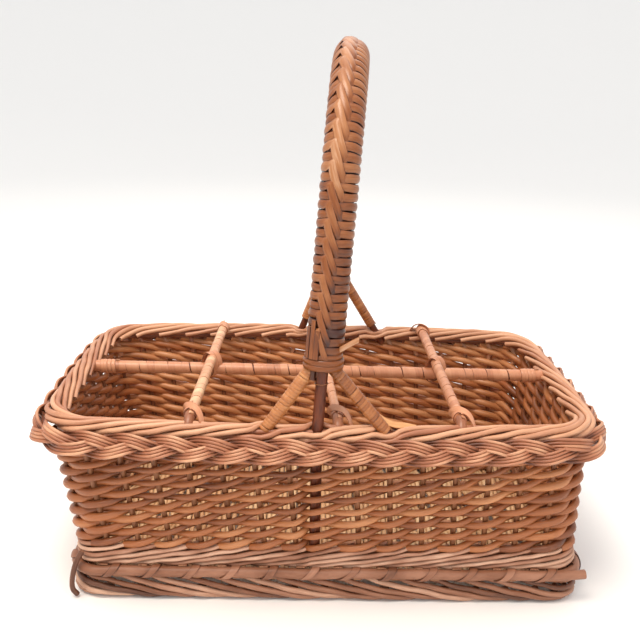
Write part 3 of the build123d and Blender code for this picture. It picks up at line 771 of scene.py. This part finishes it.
bowUp = np.cumsum(bowHop * np.sin(bowTurn))
bowAcross += -bow["halfSpan"] - np.interp(0, bowWay, bowAcross)
bowUp -= np.interp(0, bowWay, bowUp)


def inBow(x, y, z):
    # a place in the bow's plane: across it, up it and off it to the right
    return bowOrigin + x[..., None] * bowX + y[..., None] * bowY + z[..., None] * bowZ


def onBow(along, around, radius):
    # a place on the handle: how far along the bow from the front seat, the angle round it from its
    # outer face to the right, and the distance from its middle line
    along, around, radius = np.broadcast_arrays(along, around, radius)
    turn = np.interp(along, bowWay, bowTurn)
    x = np.interp(along, bowWay, bowAcross) - radius * np.cos(around) * np.sin(turn)
    y = np.interp(along, bowWay, bowUp) + radius * np.cos(around) * np.cos(turn)
    return inBow(x, y, radius * np.sin(around))


def besideBow(along, right, out):
    # a place near the handle: how far along the bow, to the right of its middle and outward of it
    return onBow(along, np.arctan2(right, out), np.hypot(right, out))


def levelOnLeg(level):
    # how far along a leg, from its seat, a level is
    return (level - bow["seat"]) / math.cos(legSlope)


# the grip's listing: flat rings, and on the outer face a herringbone of folded strips
grip = {"from": levelOnLeg(213.5), "to": bowLength - levelOnLeg(228.5), "pitch": 6.5, "ringWidth": 6.0,
        "width": (4.4, 6.2), "thick": 1.0, "crown": 0.9, "radius": 12.3, "arc": 14.0, "steps": 30,
        "leftX": (-41.0, -30.0, -20.0, -12.0, -6.2), "leftY": (-1.6, -1.6, -1.6, -1.4, 0.0),
        "rightX": (-6.2, -4.8, -2.6, -0.2, 2.2, 3.8), "rightY": (0.0, -5.0, -11.0, -16.5, -21.5, -24.5),
        "highAt": (0.0, 0.1, 0.3, 0.44, 0.5, 0.62, 0.76, 0.88, 1.0),
        "high": (-0.8, 0.0, 0.0, 0.7, 1.5, 1.5, 1.1, 0.3, -1.2), "uneven": (0.3, 2), "tone": (0.14, 0.06),
        "paintedTopLight": 0.36, "facePaintedLight": 0.12, "endShade": 0.3, "edgeShade": 0.6, "ringSteps": 56,
        "ringSink": (0.95, 0.3), "faceSink": 0.5, "ringUneven": (0.25, 2), "ringTone": (0.08, 0.07),
        "ringPaintedTopLight": 0.38, "widthAt": (0.3, 0.9), "widen": (0.6, 1.0), "pull": (0.4, 1.0),
        "faceAt": (0.4, 0.5), "endAt": (0.72, 0.95), "sunkFrom": (-np.pi, -2.3), "sunkTo": (-0.5, 0.1),
        "faceMiddle": 0.05, "faceWide": 0.3}
gripRun = grip["to"] - grip["from"]
gripPitch = gripRun / round(gripRun / grip["pitch"])     # a whole number of rings fills the grip
gripLift = stripLift(grip["thick"], grip["crown"])


def stripArm(side):
    # one smooth arm of a folded strip, laid out flat, with its unit normal
    line = np.stack(keyLines(grip, (f"{side}X", f"{side}Y"), grip["steps"]), -1)
    tangent = unit(np.gradient(line, axis=0))
    return line, np.stack([-tangent[:, 1], tangent[:, 0]], -1)


def gripListing():
    # a strip comes round the left side as wide as a ring, folds and runs down to the right across the
    # outer face, where it ends under the rings; at the fold its edges meet on the bisector of its arms
    left, leftSide = stripArm("left")
    right, rightSide = stripArm("right")
    fold = np.array([grip["leftX"][-1], grip["leftY"][-1]])
    tips = np.arange(grip["from"] - grip["leftY"][0] + 2 * gripPitch, grip["to"], 2 * gripPitch)
    height = np.sin(np.pi * tips / bowLength)
    way = np.linspace(0, 1, grip["steps"])[:, None]
    half = np.interp(height, grip["widthAt"], grip["width"])[:, None, None] / 2
    wide = grip["ringWidth"] / 2 + (half - grip["ringWidth"] / 2) * ease(*grip["widen"], way)
    bisector = unit(leftSide[-1] + rightSide[0])
    reach = half / np.dot(bisector, leftSide[-1])
    pull = ease(*grip["pull"], way)
    edges = []
    for sign in (1, -1):
        corner = fold + sign * reach * bisector
        armL = left + sign * wide * leftSide
        armR = right + sign * half * rightSide
        armL = armL + pull * (corner - armL[:, -1:])
        armR = armR + pull[::-1] * (corner - armR[:, :1])
        edges.append(np.concatenate([armL, armR[:, 1:]], 1)[:, :, None])
    upper, lower = edges
    flat = upper * (1 + acrossFaces[:, None]) / 2 + lower * (1 - acrossFaces[:, None]) / 2
    count, steps = flat.shape[:2]
    way = np.linspace(0, 1, steps)
    high = through(grip["highAt"], grip["high"], way)
    along = tips[:, None, None] + flat[..., 1] + wander(count, steps, *grip["uneven"])[:, :, None]
    # painted light: strips higher up the grip are set paler, where the light from above falls on them
    tone = dice.normal(*grip["tone"], (count, 1)) + grip["paintedTopLight"] * height[:, None]
    # painted light on the part across the outer face after the fold, and painted shade where the strip runs
    # in under the rings
    tone = tone + grip["facePaintedLight"] * ease(*grip["faceAt"], way) - grip["endShade"] * ease(*grip["endAt"], way)
    grid = onBow(along, flat[..., 0] / grip["arc"], grip["radius"] + high[:, None] + gripLift)
    # painted shade along each strip's edges, where the strips meet
    return grid, tone[..., None] - grip["edgeShade"] * edgeShadeMark


def gripRings():
    # plain rings under the folded strips: sunk on the left, where every second one lies under a strip's
    # arm, and on the outer face, where the strips cross
    steps = grip["ringSteps"]
    rings = np.arange(grip["from"], grip["to"] + 1, gripPitch)
    around = np.linspace(-np.pi, np.pi, steps, endpoint=False)
    left = (1 - ease(*grip["sunkTo"], around)) * ease(*grip["sunkFrom"], around)
    under = np.where(np.arange(len(rings)) % 2 == 0, *grip["ringSink"])[:, None, None]
    face = np.exp(-(((around - grip["faceMiddle"]) / grip["faceWide"]) ** 2))[:, None]
    radius = grip["radius"] - under * left[:, None] - grip["faceSink"] * face + gripLift
    along = rings[:, None, None] + acrossFaces * grip["ringWidth"] / 2
    along = along + wander(len(rings), steps, *grip["ringUneven"])[:, :, None]
    height = np.sin(np.pi * rings / bowLength)
    # painted light: rings higher up the grip are set paler
    tone = dice.normal(*grip["ringTone"], len(rings)) + grip["ringPaintedTopLight"] * height
    # painted shade along each ring's edges
    return onBow(along, around[:, None], radius), shadedEdges(tone, grip["edgeShade"])


listing, listingTone = gripListing()
addPiece("grip_listing", [(listing, False, listingTone)], (caneGrip, cutEnd), ["handle_leader"])
rings, ringTone = gripRings()
addPiece("grip_wraps", [(rings, True, ringTone)], (caneGrip, cutEnd), ["handle_wrap"])

# collars where the legs and braces meet the grip
collars = {"turns": 5, "from": {"front": 198.0, "back": 213.0}, "width": 4.4, "thick": 1.0, "crown": 1.0,
           "keys": (0.0, 0.5, 1.5, 2.5, 3.5, 4.5, 5.0), "lay": (0.0, 0.2, 0.6, 4.1, 4.5, 8.2, 9.4),
           "radius": (12.6, 12.6, 13.2, 13.0, 13.5, 12.3, 11.9), "turnSteps": 36, "tone": 0.3,
           "edgeShade": 0.4}


def collarBand(end):
    # one strip round the bundle: its height follows an uneven lay, so that some turns half cover others
    turns = np.linspace(0, collars["turns"], collars["turns"] * collars["turnSteps"] + 1)[None, :, None]
    lay, radius = (through(collars["keys"], collars[key], turns) for key in ("lay", "radius"))
    along = levelOnLeg(collars["from"][end]) + collars["width"] / 2 + lay
    if end == "back":
        along = bowLength - along
    lift = stripLift(collars["thick"], collars["crown"])
    return onBow(along + acrossFaces * collars["width"] / 2, 2 * np.pi * turns + np.pi, radius + lift)


# loose ends at the front collar: strips, the stubs of two filling sticks and a thread
loose = {"tops": (230.0, 235.0, 228.0), "low": 207.0, "right": (-11.8, -8.8, -5.6), "out": (8.4, 11.4, 13.4),
         "width": 4.0, "endRight": (10.5, 14.0, 18.5, 24.0), "endOut": (7.5, 9.0, 11.0, 13.0),
         "endLevel": (214.6, 217.0, 220.6, 224.4), "endWidth": 4.6, "thick": 0.9, "crown": 0.4, "steps": 16,
         "stubRight": (-6.6, -2.0), "stubOut": (3.4, 6.4), "stubLow": (190.0, 192.5), "stubTop": 204.0,
         "stubThick": 5.4, "thread": 187.0, "threadRadius": 4.75, "threadThick": 0.8, "threadWave": 0.5,
         "stubSteps": 6, "stubSides": 12, "threadSteps": 40, "threadSides": 8, "tones": (0.26, 0.34, 0.28),
         "endTone": 0.75, "endShade": 0.3, "stubTones": (0.0, 0.06), "threadTone": 0.6}


def looseEnds():
    # strips that come out of the grip's foot: three run down into the collar side by side, and one end
    # stands off to the right, along a smooth line through a few places
    steps = loose["steps"]
    way = np.linspace(0, 1, steps)[:, None]
    lift = stripLift(loose["thick"], loose["crown"])
    tops, rights, outs = (np.array(loose[key])[:, None, None] for key in ("tops", "right", "out"))
    along = levelOnLeg(loose["low"]) * (1 - way) + levelOnLeg(tops) * way
    square = np.hypot(rights, outs)
    aside = acrossFaces * loose["width"] / 2
    leaders = besideBow(along, rights + (rights * lift + outs * aside) / square,
                        outs + (outs * lift - rights * aside) / square)
    lines = keyLines(loose, ("endRight", "endOut", "endLevel"), steps)
    right, out, level = (line[:, None] for line in lines)
    tail = besideBow(levelOnLeg(level) + acrossFaces * loose["endWidth"] / 2, right, out + lift)
    return leaders, tail[None]


def collarStubs():
    # the cut ends of two filling sticks under the collar: straight round rods
    low, right, out = (np.array(loose[key])[:, None] for key in ("stubLow", "stubRight", "stubOut"))
    level = low + (loose["stubTop"] - low) * np.linspace(0, 1, loose["stubSteps"])
    path = besideBow(levelOnLeg(level), right, out)
    guide = np.broadcast_to(acrossBow, path.shape)
    return carry(path, guide, roundSection(loose["stubSides"]), loose["stubThick"] / 2)


def collarThread():
    # a thin thread tied round the leg: a small circle carried round a large one
    turn = 2 * np.pi * np.arange(loose["threadSteps"])[:, None] / loose["threadSteps"]
    section = loose["threadThick"] / 2 * roundSection(loose["threadSides"])
    along = levelOnLeg(loose["thread"]) + section[:, 1] + loose["threadWave"] * np.sin(turn)
    return onBow(along, turn, loose["threadRadius"] + section[:, 0])[None]


leaders, tail = looseEnds()
# painted shade along the edges of the collar strips and loose ends
collarTone = shadedEdges(collars["tone"], collars["edgeShade"])
collarParts = {end: [(collarBand(end), False, collarTone)] for end in ("front", "back")}
collarParts["front"] += [(leaders, False, shadedEdges(loose["tones"], collars["edgeShade"])),
                         (tail, False, shadedEdges(loose["endTone"], loose["endShade"])),
                         (collarStubs(), False, loose["stubTones"]),
                         (collarThread(), True, [loose["threadTone"]])]
for end, parts in collarParts.items():
    addPiece(f"{end}_collar_strip", parts, (caneGrip, cutEnd), [f"{end}_collar"])

# strips wound on straight rods, braces and dividers: unevenness is a share of the pitch
wound = {"turnSteps": 24, "uneven": 0.1, "turnsInWave": 5}


def besideRod(start, stop, along, right, up):
    # a place near a straight rod: how far along it, to its right as seen from its start, and above it
    run = unit(stop - start)
    aside = unit(np.cross(run, upward))
    top = np.cross(aside, run)
    along, right, up = np.broadcast_arrays(along, right, up)
    return start + along[..., None] * run + up[..., None] * top + right[..., None] * aside


def woundStrip(start, stop, first, last, turns, radius, lay):
    # a strip wound on a rod: it moves along evenly as it turns, and each turn lies with one edge on the
    # turn before it
    steps = turns * wound["turnSteps"] + 1
    turn = np.linspace(0, turns, steps)
    pitch = (last - first) / turns
    half = pitch * (1 + lay["overlap"]) / 2
    uneven = wander(1, steps, wound["uneven"] * pitch, turns / wound["turnsInWave"])[0]
    along = first + pitch * turn + uneven
    around = 2 * np.pi * turn[:, None]
    radius = radius + stripLift(lay["thick"], lay["crown"]) + lay["lean"] * lay["thick"] * (1 - acrossFaces)
    return besideRod(start, stop, along[:, None] + acrossFaces * half, radius * np.sin(around),
                     radius * np.cos(around))[None]


braces = {"feet": {"front": {"left": -45.9, "right": 58.5}, "back": {"left": -19.2, "right": 67.0}},
          "foot": 143.0, "bend": {"front": 198.8, "back": 213.8}, "aside": 7.9, "turns": 24,
          "from": {"front": {"left": 0.1, "right": 0.2}, "back": {"left": 0.3, "right": 0.26}},
          "radius": {"left": 3.95, "right": 3.75}, "thick": 0.7, "crown": 0.3, "overlap": 0.02, "lean": 0.2,
          "tone": {"left": 0.58, "right": 0.38}, "toneUneven": (0.1, 7), "edgeShade": 0.1, "past": 1.0}
# the end of the right front strip leaves the brace and lies on the rim, with its face up and outward
braceEnd = {"x": (40.5, 46.0, 53.0, 61.0, 70.0), "y": (-120.0, -121.2, -121.6, -121.2, -120.0),
            "z": (162.5, 159.4, 156.8, 155.8, 153.4), "face": (0.0, -0.6, 0.8), "width": 5.2, "thick": 0.8,
            "crown": 0.3, "steps": 24, "tone": 0.85, "edgeShade": 0.3}


def braceTail():
    # a flat strip along one smooth line through a few places
    path = np.stack(keyLines(braceEnd, "xyz", braceEnd["steps"]), -1)
    lift = stripLift(braceEnd["thick"], braceEnd["crown"])
    return flatStrip(path, unit(np.array(braceEnd["face"])), braceEnd["width"], lift)


def braceStrip(end, side):
    # a strip wound on the straight line from the brace's foot in the rim to its bend under the collar
    sign = -1 if end == "front" else 1
    hand = -1 if side == "left" else 1
    legX = frontX if end == "front" else backX
    up = np.array([braces["foot"], braces["bend"][end]]) - bow["seat"]
    across = sign * (bow["halfSpan"] - np.array([0.0, up[1] * math.tan(legSlope)]))
    off = np.array([braces["feet"][end][side] - legX, hand * braces["aside"]])
    low, bend = inBow(across, up, off)
    length = np.linalg.norm(bend - low)
    first = braces["from"][end][side] * length
    last = length + braces["past"]
    return woundStrip(low, bend, first, last, braces["turns"], braces["radius"][side], braces)


for end in ("front", "back"):
    for side in ("left", "right"):
        uneven = wander(1, braces["turns"] * wound["turnSteps"] + 1, *braces["toneUneven"])[..., None]
        # painted shade along the brace strips' edges and the end strip's edges
        tone = braces["tone"][side] + uneven - braces["edgeShade"] * edgeShadeMark
        parts = [(braceStrip(end, side), False, tone)]
        if (end, side) == ("front", "right"):
            parts += [(braceTail(), False, shadedEdges(braceEnd["tone"], braceEnd["edgeShade"]))]
        addPiece(f"{end}_{side}_brace_strip", parts, (caneBrace, cutEnd),
                 [f"{end}_{side}_brace_wrap"])

# the dividers: three rods crosswise on one lengthwise, each with cane wound flat on it
dividers = {"level": 157.0, "halfLength": 116.0, "longLevel": 146.8, "longHalf": 212.0,
            "longY": (17.0, 11.5), "frontX": {"left": -100.0, "middle": 11.5, "right": 104.5},
            "backX": {"left": -95.5, "middle": -2.0, "right": 105.0},
            "radius": {"left": 3.4, "middle": 2.65, "right": 3.4, "long": 4.35},
            "inset": {"cross": 4.7, "long": 1.0}, "pitch": {"cross": 8.2, "long": 6.4},
            "thick": 0.8, "crown": 0.1, "overlap": 0.04, "lean": 0.08,
            "tone": {"left": 0.84, "middle": 0.77, "right": 0.6, "long": 0.55}, "toneUneven": (0.09, 9),
            "jointEvery": 4, "jointDark": (0.75, 0.08), "jointLess": 0.3}
rods = {name: (np.array([dividers["frontX"][name], -dividers["halfLength"], dividers["level"]]),
               np.array([dividers["backX"][name], dividers["halfLength"], dividers["level"]]))
        for name in dividers["frontX"]}
rods["long"] = (np.array([-dividers["longHalf"], dividers["longY"][0], dividers["longLevel"]]),
                np.array([dividers["longHalf"], dividers["longY"][1], dividers["longLevel"]]))
rodKind = {name: "long" if name == "long" else "cross" for name in rods}

for name, (start, stop) in rods.items():
    inset, pitch = dividers["inset"][rodKind[name]], dividers["pitch"][rodKind[name]]
    length = np.linalg.norm(stop - start)
    turns = round((length - 2 * inset) / pitch)
    sleeve = woundStrip(start, stop, inset, length - inset, turns, dividers["radius"][name], dividers)
    steps = sleeve.shape[1]
    turn = np.floor(np.arange(steps) / wound["turnSteps"])
    # every fourth joint is open and dark, and every second one of these a little less
    joint = np.where(turn % dividers["jointEvery"] == 1, *dividers["jointDark"])
    joint = joint - dividers["jointLess"] * (turn % (2 * dividers["jointEvery"]) == 1)
    uneven = wander(1, steps, *dividers["toneUneven"])[..., None]
    tone = dividers["tone"][name] + uneven - joint[:, None] * leadMark
    addPiece(f"{name}_divider_strip", [(sleeve, False, tone)], (caneDivider, cutEnd),
             [f"{name}_divider_sleeve"])

whip = {"inset": {"cross": 19.6, "long": 29.0}, "turns": 4, "pitch": 3.4, "thick": 0.7, "crown": 0.3,
        "overlap": 0.0, "lean": 0.1, "clear": 0.2, "tone": 0.62, "edgeShade": 0.35}
# the ends of the cross rods: a bare tip at each end, and a strip over it and down into the rim at the front
# ends and the right rod's back end
tip = {"loopAlong": (17.0, 14.0, 10.0, 5.5, 1.5, -2.0, -3.5),
       "loopRight": (-4.8, -4.6, -0.6, 4.8, 8.2, 9.8, 10.4),
       "loopUp": (-2.0, 3.0, 5.9, 5.0, 0.6, -4.4, -8.0),
       "loopWidth": 5.6, "loopThick": 0.8, "loopCrown": 0.3, "forward": 0.8,
       "rodAlong": (9.0, 3.0, -2.5, -6.5), "rodUp": (-0.2, -0.6, -4.0, -11.0), "rodRadius": 4.1,
       "loopSteps": 30, "loopTone": 0.62, "loopEdgeShade": 0.3, "rodSteps": 16, "rodSides": 12, "rodTone": 0.28}


def tipLoop(start, stop):
    # a strip over the rod's end, along one smooth line through a few places: it faces away from the rod
    # and towards its end
    along, right, up = keyLines(tip, ("loopAlong", "loopRight", "loopUp"), tip["loopSteps"])
    offRod = unit(besideRod(start, stop, 0 * along, right, up) - start)
    away = unit(offRod - tip["forward"] * unit(stop - start))
    path = besideRod(start, stop, along, right, up)
    return flatStrip(path, away, tip["loopWidth"], stripLift(tip["loopThick"], tip["loopCrown"]))


def tipRod(start, stop):
    # the bare end that bends down into the rim: a circle carried along a smooth line
    along, up = keyLines(tip, ("rodAlong", "rodUp"), tip["rodSteps"])
    path = besideRod(start, stop, along, 0.0, up)[None]
    guide = np.broadcast_to(np.array([1.0, 0.0, 0.0]), path.shape)
    return carry(path, guide, roundSection(tip["rodSides"]), tip["rodRadius"])


for name, (start, stop) in rods.items():
    ends = ("left", "right") if name == "long" else ("front", "back")
    radius = dividers["radius"][name] + dividers["thick"] + whip["clear"]
    inset = whip["inset"][rodKind[name]]
    for end, (near, far) in zip(ends, ((start, stop), (stop, start))):
        first = inset - whip["turns"] * whip["pitch"]
        band = woundStrip(near, far, first, inset, whip["turns"], radius, whip)
        # painted shade along the edges of the whipping and the tip loops
        parts = [(band, False, shadedEdges(whip["tone"], whip["edgeShade"]))]
        if name != "long":
            parts += [(tipRod(near, far), False, [tip["rodTone"]])]
        if end == "front" or (name, end) == ("right", "back"):
            parts += [(tipLoop(near, far), False, shadedEdges(tip["loopTone"], tip["loopEdgeShade"]))]
        addPiece(f"{name}_divider_{end}_whip_strip", parts, (caneDivider, cutEnd),
                 [f"{name}_divider_{end}_whipping"])

lash = {"turns": 2, "pitch": 5.0, "width": 5.0, "thick": 1.0, "crown": 0.25, "halfWide": 6.6,
        "halfHigh": 10.2, "over": 4.5, "under": 5.5, "turnSteps": 40, "tone": 0.52, "edgeShade": 0.35}


def crossingLash(name):
    # a strip round both rods where they cross: an oval in the plane square to the line between the rods,
    # moving along that line as it turns
    start, stop = rods[name]
    longStart, longStop = rods["long"]
    run, longRun, gap = unit(stop - start), unit(longStop - longStart), longStart - start
    share = ((gap[0] * longRun[1] - gap[1] * longRun[0])
             / (run[0] * longRun[1] - run[1] * longRun[0]))
    middle = start + share * run
    middle[2] = (dividers["level"] + lash["over"] + dividers["longLevel"] - lash["under"]) / 2
    lift = stripLift(lash["thick"], lash["crown"])
    turn = np.linspace(0, lash["turns"], lash["turns"] * lash["turnSteps"] + 1)[:, None]
    along = lash["pitch"] * (turn - lash["turns"] / 2) + acrossFaces * lash["width"] / 2
    angle = 2 * np.pi * turn + np.pi
    wide = (lash["halfWide"] + lift) * np.sin(angle)
    high = (lash["halfHigh"] + lift) * np.cos(angle)
    return besideRod(middle, middle + run + longRun, along, wide, high)[None]


for name in ("left", "middle", "right"):
    # painted shade along the lashing's edges
    tone = shadedEdges(lash["tone"], lash["edgeShade"])
    addPiece(f"{name}_crossing_strip", [(crossingLash(name), False, tone)], (caneDivider, cutEnd),
             [f"{name}_crossing_lashing"])
print("strips are wound")

# floor, light and camera
studio = {"floor": "#F6F5F3", "flat": 2.5, "reach": 6.0, "rise": 3.0, "rings": 40, "spokes": 64,
          "middle": 0.2, "flatRings": 8, "sky": "#F8F9FB", "skyStrength": 0.95}


def bowl():
    # a round floor, flat near the object; past the flat part it curves up as a parabola, so that no
    # horizon shows
    slopeRun = np.linspace(studio["flat"], studio["reach"], studio["rings"])
    far = np.concatenate([np.linspace(studio["middle"], studio["flat"], studio["flatRings"]), slopeRun[1:]])
    turn = 2 * np.pi * np.arange(studio["spokes"]) / studio["spokes"]
    high = studio["rise"] * (np.maximum(far - studio["flat"], 0) / (studio["reach"] - studio["flat"]))**2
    ring = np.stack([far[:, None] * np.cos(turn), far[:, None] * np.sin(turn), high[:, None] + 0 * turn], -1)
    index = np.arange(ring[..., 0].size).reshape(ring.shape[:2])
    quads = np.stack([index[:-1], index[1:], np.roll(index, -1, 1)[1:], np.roll(index, -1, 1)[:-1]], -1)
    mesh = bpy.data.meshes.new("floor")
    mesh.from_pydata(ring.reshape(-1, 3).tolist(), [], [*quads.reshape(-1, 4).tolist(), index[0].tolist()])
    mesh.polygons.foreach_set("use_smooth", np.ones(len(mesh.polygons), bool))
    return mesh


floorMesh = bowl()
floor = bpy.data.objects.new("floor", floorMesh)
bpy.context.scene.collection.objects.link(floor)
# pale matt paint: a plain ground that takes the soft shadow
floorPaint, tree = blankMaterial("pale_floor")
floorShader = addNode(tree, "ShaderNodeBsdfPrincipled",
                      {"Base Color": colour(studio["floor"]), "Roughness": 0.8})
addNode(tree, "ShaderNodeOutputMaterial", {}, {"Surface": floorShader.outputs[0]})
floorMesh.materials.append(floorPaint)

world = bpy.data.worlds.new("studio")
bpy.context.scene.world = world
world.use_nodes = True
world.node_tree.nodes.clear()
sky = addNode(world.node_tree, "ShaderNodeBackground",
              {"Color": colour(studio["sky"]), "Strength": studio["skyStrength"]})
addNode(world.node_tree, "ShaderNodeOutputWorld", {}, {"Surface": sky.outputs[0]})

lamps = {"key": {"at": (-0.45, -0.5, 1.8), "size": 0.9, "power": 28, "hue": "#FFF3E4"},
         "fill": {"at": (0.9, -1.6, 1.0), "size": 1.4, "power": 4, "hue": "#FFF8F0"},
         "back": {"at": (0.2, 1.2, 1.7), "size": 1.4, "power": 8, "hue": "#FFF5E8"}}
lampTarget = np.array([0, 0, 0.15])
for name, lamp in lamps.items():
    light = bpy.data.lights.new(name, "AREA")
    light.size, light.energy, light.color = lamp["size"], lamp["power"], colour(lamp["hue"])[:3]
    holder = bpy.data.objects.new(name, light)
    bpy.context.scene.collection.objects.link(holder)
    aim = lampTarget - np.array(lamp["at"])
    holder.location = lamp["at"]
    holder.rotation_euler = (math.atan2(math.hypot(aim[0], aim[1]), -aim[2]), 0, math.atan2(-aim[0], aim[1]))
bpy.context.scene.view_settings.view_transform = "Standard"

view = {"at": (-0.01764, -0.66565, 0.40638), "yaw": 0.0246, "pitch": 0.3013, "roll": 0.0272, "lens": 45.0}
camera = bpy.data.cameras.new("camera")
camera.lens, camera.sensor_width = view["lens"], 36.0
camera.clip_start, camera.clip_end = 0.01, 20.0
cameraHolder = bpy.data.objects.new("camera", camera)
bpy.context.scene.collection.objects.link(cameraHolder)
level = np.array([math.sin(view["yaw"]), math.cos(view["yaw"]), 0])
ahead = level * math.cos(view["pitch"]) - math.sin(view["pitch"]) * upward
right = np.array([math.cos(view["yaw"]), -math.sin(view["yaw"]), 0])
up = np.cross(right, ahead)
rolled = right * math.cos(view["roll"]) + up * math.sin(view["roll"])
upright = -right * math.sin(view["roll"]) + up * math.cos(view["roll"])
pose = np.eye(4)
pose[:3, 0], pose[:3, 1], pose[:3, 2], pose[:3, 3] = rolled, upright, -ahead, view["at"]
cameraHolder.matrix_world = Matrix(pose.tolist())
bpy.context.scene.camera = cameraHolder
print("camera is in place")
